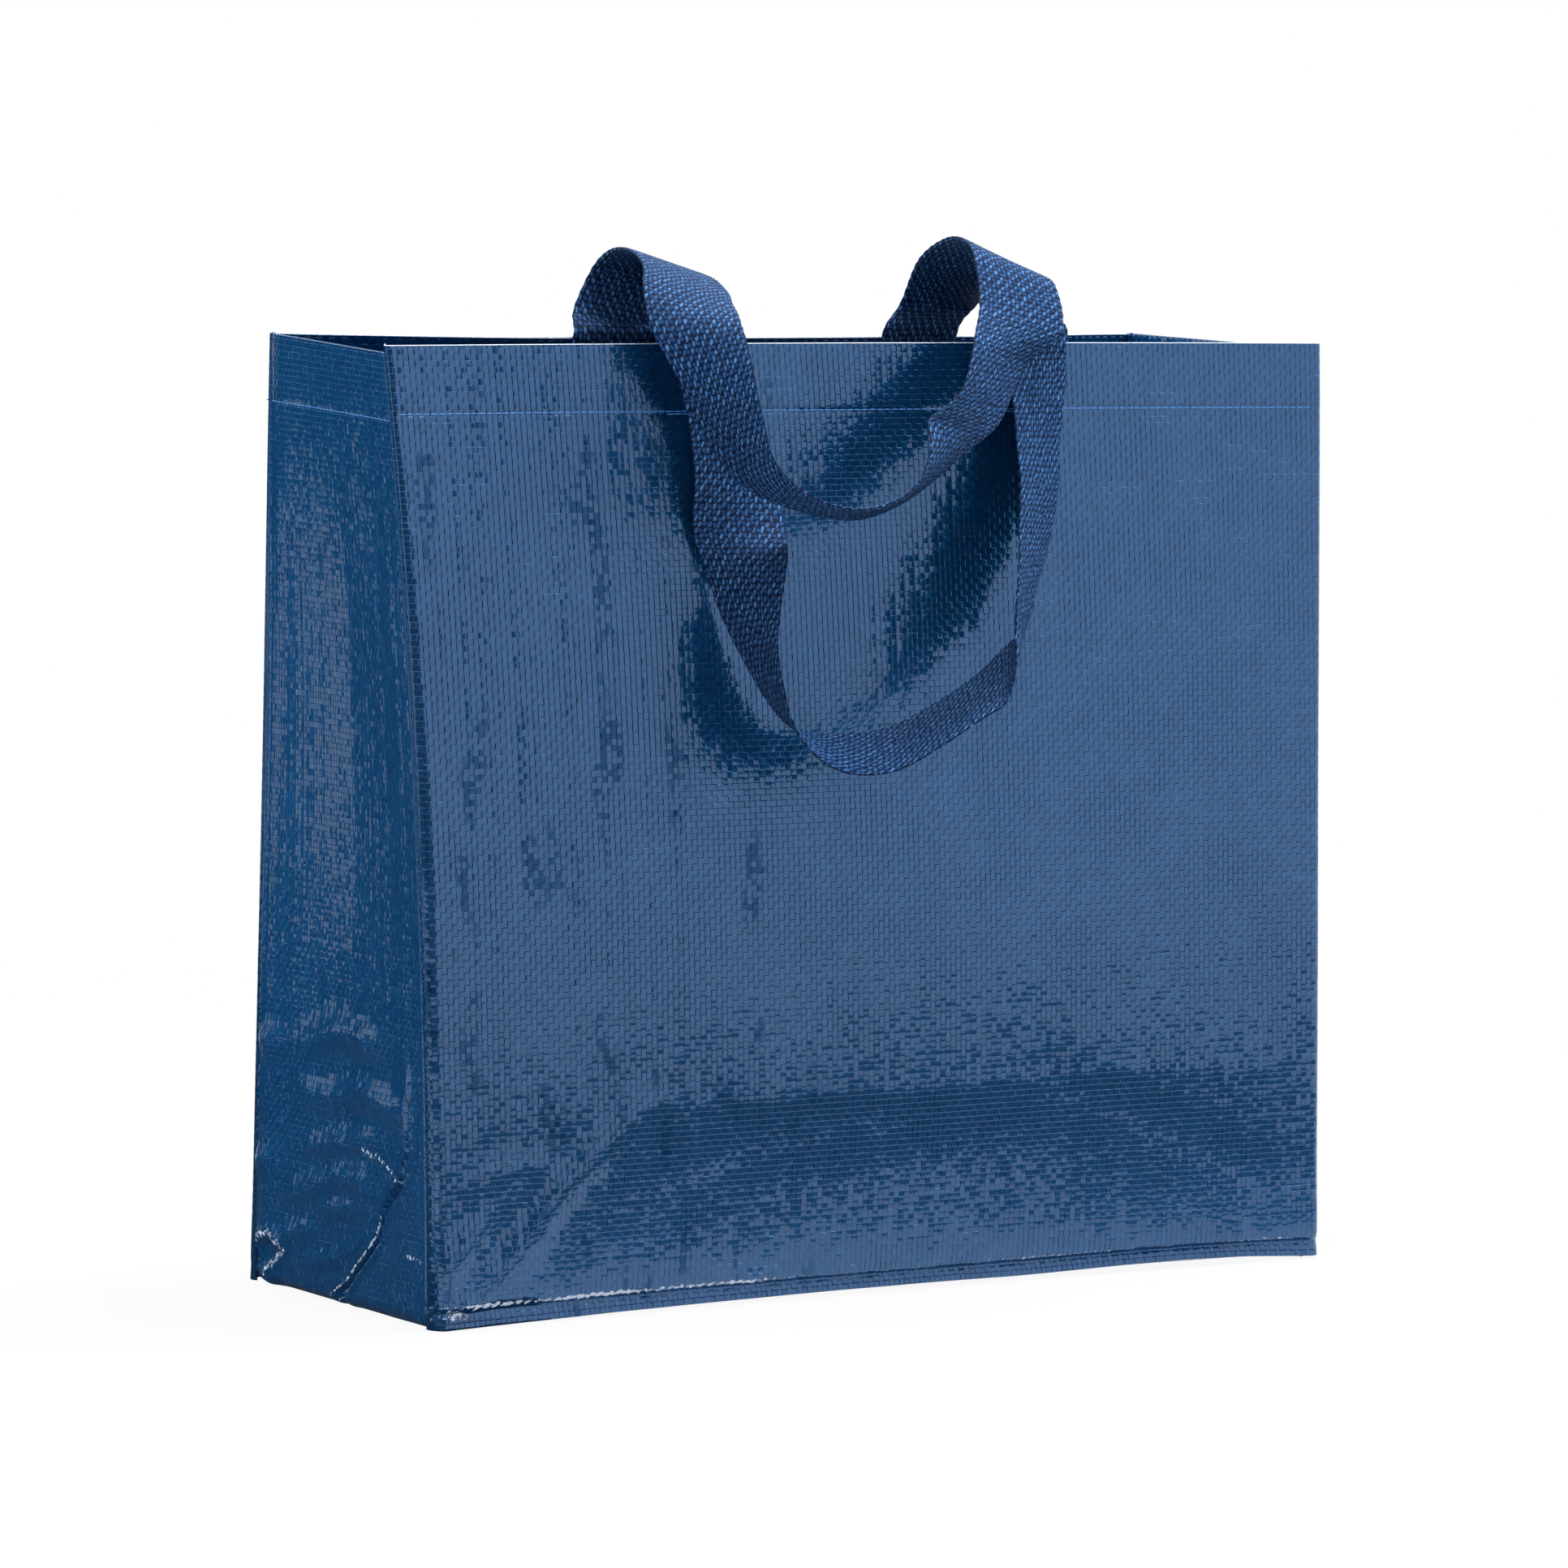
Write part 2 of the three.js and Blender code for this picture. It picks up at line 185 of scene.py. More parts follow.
# Surfaces of the standing bag, as in the part's source but for the folded mouth and narrower rolls
def across_share(x):
    return np.clip((x / HALF_WIDTH + 1) / 2, 0, 1)


def arch_across(x):
    return np.sin(np.pi * across_share(x))


def foot_tuck(x, z):
    return FOOT_TUCK * arch_across(x) * np.maximum(0, 1 - z / FOOT_FOLD)


def front_face(x, z):
    up = np.maximum(z, 0) / BAG_HEIGHT
    lean = lerp(FRONT_LEAN_LEFT, FRONT_LEAN_RIGHT, across_share(x)) * up ** FRONT_LEAN_POWER
    bulge = FRONT_BULGE * arch_across(x) * np.sin(np.pi * np.clip(up, 0, 1))
    return -HALF_DEPTH + lean - bulge + foot_tuck(x, z)


def back_face(x, z):
    up = np.maximum(z, 0) / BAG_HEIGHT
    lean = lerp(BACK_LEAN_LEFT, BACK_LEAN_RIGHT, across_share(x)) * up
    straight = HALF_SPACING + STRAP_WIDTH / 2 + PULL_MARGIN
    pull = MOUTH_PULL * smooth(np.abs(x), HALF_WIDTH, straight) * up ** PULL_POWER
    return HALF_DEPTH - lean - pull - foot_tuck(x, z)


def front_lift(x):
    return -FRONT_DIP_RIGHT * across_share(x) ** 2


def back_lift(x):
    return BACK_RISE_LEFT * (1 - across_share(x)) ** 4 + BACK_RISE_MIDDLE * arch_across(x)


def above_fold(z):
    return np.clip((z - BASE_FOLD) / (BAG_HEIGHT - BASE_FOLD), 0, 1)


def mouth_fold(z):
    """How far the folded mouth edge curves inward just below its top."""
    below = np.clip(BAG_HEIGHT - z, 0, HEM_SHEET / 2) / (HEM_SHEET / 2)
    return HEM_SHEET / 2 * (1 - np.sqrt(1 - (1 - below) ** 2))


def edge_roll(z):
    return lerp(EDGE_ROLL, MOUTH_ROLL, smooth(z, ROLL_NARROWS, BAG_HEIGHT))


# Relief of the cloth, outward from the plain surfaces: rises, widths of grooves, level ends of folds
HEM_RISE, HEM_STEP, HEM_DIP_WIDTH = 0.25 * MM, 1 * MM, 1.1 * MM
FOOT_SWELL, FOOT_GROOVE, FOOT_GROOVE_WIDTH = 1.3 * MM, 1.2 * MM, 1.2 * MM
FOOT_FLARE, FOOT_PUCKER, FOOT_WAVE = 1.4 * MM, 0.6 * MM, 0.4 * MM
SLOW_WAVE, QUICK_WAVE = 0.9 * MM, 0.3 * MM
FRONT_FOLD_END, SIDE_RIDGE_END = 0.04, 0.03
FRONT_SEEDS, BACK_SEEDS = (11, 12, 15), (31, 32, 35)
SIDE_HEM_SEED, LEFT_SEED, RIGHT_SEED, FRONT_GLINT_SEED, BACK_GLINT_SEED = 41, 51, 61, 71, 72
FRONT_FOLDS = [
    # path in millimetres (x, z), rise and width in millimetres
    ([(-212, 3), (-205, 9), (-196, 8), (-184, 4)], 1.5, 3.5),
    ([(-192, 12), (-172, 33), (-155, 54), (-115, 87)], 2.2, 7),
    ([(-214, 19), (-204, 30), (-190, 45)], 1.7, 6),
    ([(-196, 58), (-178, 64), (-160, 62)], 1.0, 7),
    ([(-120, 40), (-60, 62), (20, 70)], -0.5, 9),
    ([(60, 96), (120, 70), (190, 36)], -0.7, 9),
]


def hem_relief(x, z, seed):
    """The doubled hem stands a little proud, and its line of stitches pulls in."""
    pucker = 1 + 0.5 * soft_noise(x, z * 0, 7, 1, seed)
    proud = HEM_RISE * smooth(z, HEM_LINE - HEM_STEP, HEM_LINE + HEM_STEP)
    return proud - HEM_RISE * pucker * hump(z, HEM_LINE, HEM_DIP_WIDTH)


def foot_relief(x, z, seed):
    """The seam pinches a groove in a panel's foot. The cloth swells above it and flares below."""
    swell = FOOT_SWELL * smooth(z, SEAM_LINE, SEAM_LINE + 5 * MM) * smooth(z, 45 * MM, 14 * MM)
    groove = FOOT_GROOVE * hump(z, SEAM_LINE, FOOT_GROOVE_WIDTH)
    flare = FOOT_FLARE * smooth(z, SEAM_BAND, 0)
    pucker = soft_noise(x, z, 5, 9, seed) + 0.8 * soft_noise(x, z, 13, 16, seed + 1)
    near_seam = smooth(z, 2 * MM, SEAM_BAND) * smooth(z, SEAM_LINE + 16 * MM, SEAM_LINE)
    wave = FOOT_WAVE * soft_noise(x, z * 0, 22, 1, seed + 2) * smooth(z, 12 * MM, 0)
    return swell - groove + flare + FOOT_PUCKER * pucker * near_seam + wave


def cloth_relief(x, z, seed):
    """Slow waves of a soft panel, longer up than across."""
    return SLOW_WAVE * soft_noise(x, z, 75, 140, seed) + QUICK_WAVE * soft_noise(x, z, 26, 45, seed + 1)


def fold_rise(u, v, path, rise, width, end):
    """A fold along a path in millimetres, highest halfway and level over a share of it at each end."""
    gap, along = distance_to_path(u, v, path)
    return rise * MM * hump(gap, 0, width) * np.sin(np.pi * np.clip(along, end, 1 - end)) ** 0.5


def panel_relief(x, z, seeds):
    hem_seed, foot_seed, cloth_seed = seeds
    return hem_relief(x, z, hem_seed) + foot_relief(x, z, foot_seed) + cloth_relief(x, z, cloth_seed)


def front_relief(x, z):
    relief = panel_relief(x, z, FRONT_SEEDS)
    for path, rise, width in FRONT_FOLDS:
        relief = relief + fold_rise(x, z, path, rise, width, FRONT_FOLD_END)
    return relief


def back_relief(x, z):
    return panel_relief(x, z, BACK_SEEDS)


# Creases and crumples of the left side in the photograph: paths in millimetres (y, z)
SIDE_CREASE = [
    (-67, 116), (-66, 107), (-67, 97), (-65, 89), (-64, 80), (-65, 71), (-61, 64), (-59, 57), (-50, 51),
    (-44, 44), (-41, 36), (-39, 32), (-31, 25), (-20, 17), (-12, 10), (-4, 6), (6, 1),
]
EDGE_CREASE = [(-75, 101), (-79, 91), (-77, 80), (-77, 68)]
# Paths of painted highlights, with white stress marks along the ridge
STRESS_GLINT_RIDGE = [(-21, 67), (-37, 65), (-49, 61), (-57, 57)]
FOOT_GLINTS = [(-64, 28), (-78, 27)]
CORNER_DENT = [(92, 0), (86, 6), (77, 12), (64, 16)]
# Ridge at the back corner, which also carries painted highlights
CORNER_GLINT_RIDGE = [(84, 17), (73, 21), (62, 23), (52, 20), (47, 18), (56, 12), (64, 8), (67, 4)]
SIDE_RIDGES = [
    # path of the flank that catches the light, height and width in millimetres
    ([(44, 107), (22, 115), (5, 118), (-14, 117), (-36, 115)], 2.8, 6.5),
    ([(38, 92), (24, 88), (-1, 91), (-13, 95), (-30, 93), (-45, 91), (-62, 90)], 2.6, 6),
    ([(30, 66), (14, 69), (-5, 72), (-30, 77)], 2.4, 5.5),
    ([(47, 44), (34, 48), (16, 53), (-1, 58), (-21, 58), (-30, 55)], 2.7, 6),
    ([(18, 41), (-1, 44), (-17, 45)], 2.1, 5),
    ([(62, 23), (45, 28), (18, 35)], 2.6, 6),
    ([(-22, 50), (-29, 43), (-27, 36), (-12, 26), (6, 21), (24, 18), (46, 16)], 1.8, 4),
    ([(88, 112), (66, 108), (50, 112)], 2.3, 6),
    ([(90, 62), (74, 57), (60, 58)], 2.2, 6),
]
FLANK_SHIFT = 0.7  # a ridge's crest lies this share of its width below its lit flank
SIDE_WAVE, CRUMPLE_WAVE, CRUMPLE_RIPPLE, RIGHT_WAVE = 1.0 * MM, 0.5 * MM, 0.25 * MM, 1.2 * MM
CREASE_DEPTH, CREASE_LIP = 3.0 * MM, 0.9 * MM
EDGE_CREASE_RISE, CORNER_DENT_DEPTH, CORNER_GLINT_RIDGE_RISE = 0.7 * MM, 3.2 * MM, 1.2 * MM
# White marks of the left side: stress whitening and painted highlights
STRESS_AND_GLINT_MARKS = [
    # path, width in millimetres and how white it is
    (STRESS_GLINT_RIDGE, 4.5, 0.8), (CORNER_GLINT_RIDGE, 4.5, 0.84), (EDGE_CREASE, 3.0, 0.72), (FOOT_GLINTS, 4, 0.78),
]


def left_relief(y, z):
    """The left side is pinched by a crease near the front and crumpled towards the floor."""
    crumpled = smooth(z, 200 * MM, 60 * MM)
    relief = SIDE_WAVE * soft_noise(y, z, 48, 90, LEFT_SEED)
    relief = relief + CRUMPLE_WAVE * soft_noise(y, z, 24, 30, LEFT_SEED + 1) * crumpled
    relief = relief + CRUMPLE_RIPPLE * soft_noise(y, z, 9, 11, LEFT_SEED + 2) * crumpled
    for path, height, width in SIDE_RIDGES:
        relief = relief + fold_rise(y, z + FLANK_SHIFT * width * MM, path, height, width, SIDE_RIDGE_END)
    gap, along = distance_to_path(y, z, SIDE_CREASE)
    fade = smooth(along, 0, 0.2) * smooth(z, 1 * MM, 9 * MM)
    open_width = 1.1 + 1.2 * hump(along, 0.47, 0.08)
    relief = relief - fade * (CREASE_DEPTH * hump(gap, 0, open_width) - CREASE_LIP * hump(gap, 3.0, 1.5))
    for path, rise, width in (
            (EDGE_CREASE, EDGE_CREASE_RISE, 1.8), (CORNER_DENT, -CORNER_DENT_DEPTH, 4.5),
            (CORNER_GLINT_RIDGE, CORNER_GLINT_RIDGE_RISE, 3)):
        gap, _ = distance_to_path(y, z, path)
        relief = relief + rise * hump(gap, 0, width)
    return relief


def left_stress_and_glints(y, z):
    """Where the film is painted white: white stress marks beside the crease, and painted highlights on the
    sharpest ridges, at the corner and near the foot.
    """
    gap, along = distance_to_path(y, z, SIDE_CREASE)
    wear = (0.6 + 0.36 * smooth(along, 0.5, 0.62)) * hump(gap, 2.0, 0.9)
    for path, width, amount in STRESS_AND_GLINT_MARKS:
        gap, _ = distance_to_path(y, z, path)
        wear = np.maximum(wear, amount * hump(gap, 0, width))
    return wear


def right_relief(y, z):
    return RIGHT_WAVE * soft_noise(y, z, 50, 80, RIGHT_SEED)


def back_rounding(gap, z):
    """Towards the back seam a side rounds off. The gap is the distance from that seam."""
    swell = 1.2 * MM * hump(gap, 14 * MM, 9 * MM) - 2.0 * MM * np.clip(1 - gap / (11 * MM), 0, 1) ** 2
    return swell * lerp(1, 0.4, z / BAG_HEIGHT)


MOUTH_GLINT, SIDE_MOUTH_GLINT = 1.2, 0.68  # how white the painted highlight along the folded mouth edge is
BRIGHT_FOOT_START, BRIGHT_FOOT_END = (-206 * MM, -196 * MM), (-110 * MM, -140 * MM)


def mouth_glint(z):
    """1 on the folded mouth edge, where a highlight is painted white."""
    return smooth(z, BAG_HEIGHT - 0.5 * MM, BAG_HEIGHT - 0.2 * MM)


def front_glints(x, z):
    """Painted highlights: white glints on the folded mouth edge, just over the groove of the foot's seam,
    and at the lower left corner.
    """
    beat = np.cos(2 * np.pi * (x + 0.5 * z) / (FOOT_STITCH + FOOT_STITCH_GAP))
    groove = hump(z, SEAM_LINE + (2.6 + 0.5 * beat) * MM, 1.9 * MM)
    left = smooth(x, *BRIGHT_FOOT_START) * smooth(x, *BRIGHT_FOOT_END)
    patchy = soft_noise(x, z * 0, 24, 1, FRONT_GLINT_SEED)
    along = 0.72 + 0.3 * left + 0.12 * hump(x, -60 * MM, 50 * MM) + 0.14 * patchy
    corner = 0.88 * hump(x, -HALF_WIDTH + 10 * MM, 12 * MM) * hump(z, 6 * MM, 7 * MM)
    return np.maximum(np.maximum(groove * along, corner), MOUTH_GLINT * mouth_glint(z))


def back_glints(x, z):
    # Painted highlights: white glints just over the groove of the foot's seam, and on the folded mouth edge.
    groove = hump(z, SEAM_BAND + 1.4 * MM, 1.0 * MM)
    patchy = soft_noise(x, z * 0, 30, 1, BACK_GLINT_SEED)
    return np.maximum(groove * (0.68 + 0.15 * patchy), MOUTH_GLINT * mouth_glint(z))


# Meshes
def grid_normals(points):
    return unit(np.cross(np.gradient(points, axis=1), np.gradient(points, axis=0)))


def sheet_faces(rows, columns):
    """Quads of a closed sheet: its outer layer, its inner layer and its rim."""
    index = np.arange(rows * columns).reshape(rows, columns)
    a, b, c, d = index[:-1, :-1], index[:-1, 1:], index[1:, 1:], index[1:, :-1]
    outer = np.stack([a, b, c, d], axis=-1).reshape(-1, 4)
    inner = outer[:, ::-1] + rows * columns
    rim = np.concatenate([index[0, ::-1], index[1:, 0], index[-1, 1:], index[-2:0:-1, -1]])
    after = np.roll(rim, -1)
    edge = np.stack([rim, after, after + rows * columns, rim + rows * columns], axis=-1)
    return np.concatenate([outer, inner, edge])


def new_object(name, data):
    made = bpy.data.objects.new(name, data)
    bpy.context.scene.collection.objects.link(made)
    return made


def mesh_object(name, vertices, faces, uv, material, wear=None):
    mesh = bpy.data.meshes.new(name)
    mesh.from_pydata(np.asarray(vertices).tolist(), [], faces.tolist())
    corners = np.asarray(uv, np.float32)[faces.ravel()]
    mesh.uv_layers.new(name="cloth").data.foreach_set("uv", corners.ravel())
    # Per-point mark of painted highlights and white stress marks
    if wear is not None:
        mesh.attributes.new("wear", "FLOAT", "POINT").data.foreach_set("value", np.asarray(wear, np.float32))
    mesh.validate()
    mesh.shade_smooth()
    mesh.materials.append(material)
    return new_object(name, mesh)


def sheet_object(name, outer, thickness, uv, wear, material):
    """A closed sheet from a grid of outer points that faces out where columns and rows turn right-handed."""
    inner = outer - grid_normals(outer) * thickness[..., None]
    rows, columns = outer.shape[:2]
    vertices = np.concatenate([outer.reshape(-1, 3), inner.reshape(-1, 3)])
    flat = np.concatenate([uv.reshape(-1, 2)] * 2)
    both = np.concatenate([wear.ravel()] * 2)
    return mesh_object(name, vertices, sheet_faces(rows, columns), flat, material, both)


def fine_steps(stops):
    """Values through (position, spacing) stops, with each stretch at its stop's spacing."""
    values = []
    for (low, spacing), (high, _) in zip(stops, stops[1:]):
        count = max(1, round((high - low) / spacing))
        values.extend(np.linspace(low, high, count, endpoint=False))
    return np.array([*values, stops[-1][0]])


# Front and back panels
# One of a panel's functions gives where its highlights are painted white
Panel = namedtuple("Panel", "face relief wear lift flare strip_drop inward")
FRONT = Panel(front_face, front_relief, front_glints, front_lift, FRONT_FLARE, SIDE_DROP, 1)
BACK = Panel(back_face, back_relief, back_glints, back_lift, 0, 0, -1)
FOOT_RISE = 2.4 * MM
FRONT_MESH, BACK_MESH = (2.3 * MM, 8), (3.5 * MM, 6)  # spacing, and steps round a rolled edge
HEM_FINE, HEM_STEPS, MOUTH_FINE = 3 * MM, 0.75 * MM, 1 * MM  # finer rows at the hem's line and the mouth


def foot_rise(x):
    """The seam at a panel's foot lifts near its right end."""
    return FOOT_RISE * smooth(x, 60 * MM, 150 * MM) * (1 - 0.6 * smooth(x, 170 * MM, HALF_WIDTH))


def panel_heights(spacing):
    return fine_steps([
        (0, 0.7 * MM), (SEAM_BAND + 6 * MM, 1.8 * MM), (24 * MM, spacing),
        (HEM_LINE - HEM_FINE, HEM_STEPS), (HEM_LINE + HEM_FINE, spacing),
        (BAG_HEIGHT - MOUTH_FINE, 0.12 * MM), (BAG_HEIGHT, 1),
    ])


def half_width(panel, z):
    return HALF_WIDTH + panel.flare * (z / BAG_HEIGHT) ** 2


def panel_height(panel, x, z):
    """Height over the floor of a panel's point at height z of the cut sheet."""
    bow = FOOT_BOW * arch_across(x) * smooth(z, SEAM_BAND * 2, 0)
    return z + bow + foot_rise(x) * smooth(z, 3 * SEAM_BAND, 0) + panel.lift(x) * above_fold(z)


def sheet_thickness(z):
    return lerp(SHEET, HEM_SHEET, smooth(z, HEM_LINE - 0.5 * MM, HEM_LINE + 0.5 * MM))


def panel_cloth(name, panel, spacing, roll_steps, material):
    """A panel from its left seam, round its rolled edge, across and round the other edge."""
    rows = panel_heights(spacing)
    flat = np.linspace(-1, 1, round(BAG_WIDTH / spacing) + 1)
    turn = np.linspace(SEAM_TURN, 0, roll_steps, endpoint=False)
    across = np.concatenate([-np.ones(roll_steps), flat, np.ones(roll_steps)])
    roll = np.concatenate([turn, np.zeros(len(flat)), turn[::-1]])
    z, share = np.meshgrid(rows, across, indexing="ij")
    roll = np.broadcast_to(roll, z.shape)
    radius = edge_roll(z)
    x = share * (half_width(panel, z) - radius)
    height = panel_height(panel, x, z)
    calm = np.clip(np.cos(roll), 0, 1) ** 2
    swell = panel.relief(x, z) * calm - mouth_fold(z)
    y = panel.face(x, height) - panel.inward * (swell - radius * (1 - np.cos(roll)))
    outer = np.stack([x + np.sign(share) * radius * np.sin(roll), y, height], axis=-1)
    uv = np.stack([x + np.sign(share) * radius * roll, z], axis=-1) / TAPE
    # Where this panel's highlights are painted white
    glint_wear = panel.wear(x, z)
    if panel.inward < 0:
        outer, uv, glint_wear = outer[:, ::-1], uv[:, ::-1], glint_wear[:, ::-1]
    return sheet_object(name, outer, sheet_thickness(z), uv, glint_wear, material)


# Side-and-base strip
SEAM_LIP, SEAM_SINK = 0.6 * MM, 1.2 * MM  # beside its seams the strip swells, and in them it sinks
SIDE_FINE = 1.0 * MM  # spacing of the mesh where the left side is crumpled
CRUMPLE_TOP = 128 * MM


def side_edge(panel, hand, z):
    """The strip's front or back edge where it stands beside a panel's rolled edge."""
    radius = edge_roll(z)
    x = hand * (half_width(panel, z) - radius)
    height = z + (panel.lift(x) - panel.strip_drop) * above_fold(z)
    y = panel.face(x, height) + panel.inward * (radius + SEAM_LAP)
    return np.stack([hand * half_width(panel, height), y, height], axis=-1)


def side_points(hand, z, turn, share):
    """Points of a side at heights z of the cut strip, turned under at the lower corner."""
    front, back = side_edge(FRONT, hand, z), side_edge(BACK, hand, z)
    points = lerp(front, back, share[..., None])
    sag = SIDE_SAG * np.sin(np.pi * share) * np.sin(np.pi * above_fold(z))
    relief = (left_relief if hand < 0 else right_relief)(points[..., 1], points[..., 2])
    relief = relief + hem_relief(points[..., 1], z, SIDE_HEM_SEED + hand)
    calm = smooth(share, 0, 0.05) * smooth(share, 1, 0.96)
    swell = relief * calm + back_rounding(back[..., 1] - points[..., 1], z) - mouth_fold(z)
    swell = swell + SEAM_LIP * (hump(share, 0.011, 0.009) + hump(share, 0.989, 0.009))
    swell = swell - SEAM_SINK * (hump(share, 0, 0.004) + hump(share, 1, 0.004))
    points[..., 0] -= hand * (sag - swell + BASE_FOLD * (1 - np.cos(turn)))
    points[..., 2] -= BASE_FOLD * np.sin(turn)
    return points


def side_glints_and_stress(hand, z, points):
    # Painted highlight on the folded mouth edge; on the left side also white stress marks and painted
    # highlights
    edge = SIDE_MOUTH_GLINT * mouth_glint(z)
    return np.maximum(edge, left_stress_and_glints(points[..., 1], points[..., 2])) if hand < 0 else edge


def base_points(across, share):
    """Points of the base, which climbs to the panels' feet along both seams."""
    x = across * (HALF_WIDTH - BASE_FOLD)
    inside = smooth(HALF_WIDTH - BASE_FOLD - np.abs(x), 0, SEAM_RUN)
    fold = np.full_like(x, BASE_FOLD)
    hand = np.where(x < 0, -1.0, 1.0)
    edge = lambda panel: side_edge(panel, hand, fold)[..., 1]
    foot = lambda panel: panel.face(x, SEAM_BAND) + panel.inward * BASE_INSET
    front, back = (lerp(edge(panel), foot(panel), inside) for panel in (FRONT, BACK))
    y = lerp(front, back, share)
    climb = SEAM_BAND * inside * smooth(np.minimum(y - front, back - y), SEAM_RUN, 0)
    return np.stack([x, y, climb], axis=-1)


def side_and_base(name, fine, material):
    """One strip: down the left side, under the bag and up the right side."""
    share = fine_steps([
        (0, 0.003), (0.03, 1.7 * fine / BASE_DEPTH), (0.08, fine / BASE_DEPTH),
        (0.56, 2 * fine / BASE_DEPTH), (0.97, 0.003), (1, 1)])
    fold = np.linspace(0, np.pi / 2, 8)[1:]

    def upright(hand, low_spacing):
        rows = fine_steps([
            (BASE_FOLD, low_spacing), (CRUMPLE_TOP, 7 * MM),
            (HEM_LINE - HEM_FINE, HEM_STEPS), (HEM_LINE + HEM_FINE, 6 * MM),
            (BAG_HEIGHT - MOUTH_FINE, 0.15 * MM), (BAG_HEIGHT, 1),
        ])[::-1]
        z, across = np.meshgrid(np.concatenate([rows, np.full(len(fold), BASE_FOLD)]), share, indexing="ij")
        turn = np.concatenate([np.zeros(len(rows)), fold])[:, None] + 0 * z
        points = side_points(hand, z, turn, across)
        return points, sheet_thickness(z), side_glints_and_stress(hand, z, points), z[:, 0] - BASE_FOLD * turn[:, 0]

    left, left_sheet, left_glint_wear, left_run = upright(-1, fine)
    right, right_sheet, right_glint_wear, right_run = upright(1, 7 * fine)
    across = np.linspace(-1, 1, round(BAG_WIDTH / (11 * fine)))[1:-1]
    base = base_points(*np.meshgrid(across, share, indexing="ij"))
    outer = np.concatenate([left, base, right[::-1]])
    base_run = left_run[-1] - (across + 1) * (HALF_WIDTH - BASE_FOLD)
    right_start = 2 * right_run[-1] - BAG_WIDTH + 2 * BASE_FOLD
    run = np.concatenate([left_run, base_run, right_start - right_run[::-1]])
    v, u = np.meshgrid(run, share * BASE_DEPTH, indexing="ij")
    thickness = np.concatenate([left_sheet, np.full(base.shape[:2], SHEET), right_sheet[::-1]])
    # Painted highlights, and white stress marks of the left side
    glint_wear = np.concatenate([left_glint_wear, np.zeros(base.shape[:2]), right_glint_wear[::-1]])
    return sheet_object(name, outer, thickness, np.stack([u, v], axis=-1) / TAPE, glint_wear, material)


# Handles
def through(points, steps):
    """A centripetal curve through points, with the same number of steps between each two."""
    padded = np.concatenate([[2 * points[0] - points[1]], points, [2 * points[-1] - points[-2]]])
    t = np.linspace(0, 1, steps, endpoint=False)[:, None]
    curve = []
    for p0, p1, p2, p3 in zip(padded, padded[1:], padded[2:], padded[3:]):
        d0, d1, d2 = (max(np.linalg.norm(b - a) ** 0.5, 1e-6) for a, b in ((p0, p1), (p1, p2), (p2, p3)))
        m1 = ((p1 - p0) / d0 - (p2 - p0) / (d0 + d1) + (p2 - p1) / d1) * d1
        m2 = ((p2 - p1) / d1 - (p3 - p1) / (d1 + d2) + (p3 - p2) / d2) * d1
        curve.append(p1 + m1 * t + (3 * (p2 - p1) - 2 * m1 - m2) * t**2 + (2 * (p1 - p2) + m1 + m2) * t**3)
    return np.concatenate([*curve, points[-1:]])


def tail_sections(panel, hand):
    """Outer and inner edge of a strap's tail, from inside the hem up to the mouth."""
    heights = [BAG_HEIGHT - STRAP_TAIL, BAG_HEIGHT - STRAP_TAIL / 2, BAG_HEIGHT + STRAP_RISE]
    behind = 2 * SOLID_SHEET + SEAM_GAP + STRAP_THICKNESS / 2
    outer, inner = (hand * (HALF_SPACING + outward * STRAP_WIDTH / 2) for outward in (1, -1))
    turn = TAIL_TURN if panel is BACK and hand < 0 else (0, 0, 0)
    place = lambda x, off, z: (x, float(panel.face(x, z)) + panel.inward * (behind + off), z)
    rows = zip(heights, TAIL_LEAVE, turn)
    return [[place(outer, off, z), place(inner, off + more, z)] for z, off, more in rows]


def route_section(share, ahead, up, turn, tilt):
    """Outer and inner edge of the strap at one row of its route."""
    mouth = float(front_face(0, BAG_HEIGHT))
    middle = np.array([share * HALF_SPACING, mouth - ahead * MM, BAG_HEIGHT + up * MM])
    yaw, pitch = math.radians(turn), math.radians(tilt)
    inward = np.array([math.cos(pitch) * math.cos(yaw), math.cos(pitch) * math.sin(yaw), math.sin(pitch)])
    return [middle - inward * STRAP_WIDTH / 2, middle + inward * STRAP_WIDTH / 2]


def resample(points, spacing):
    """Middles and widths at equal steps along the strap."""
    middle = points.mean(axis=1)
    run = run_along(middle)
    even = np.linspace(0, run[-1], round(run[-1] / spacing) + 1)
    pick = lambda values: np.stack([np.interp(even, run, values[:, k]) for k in range(3)], axis=1)
    return even, pick(middle), unit(pick(points[:, 1] - points[:, 0]))


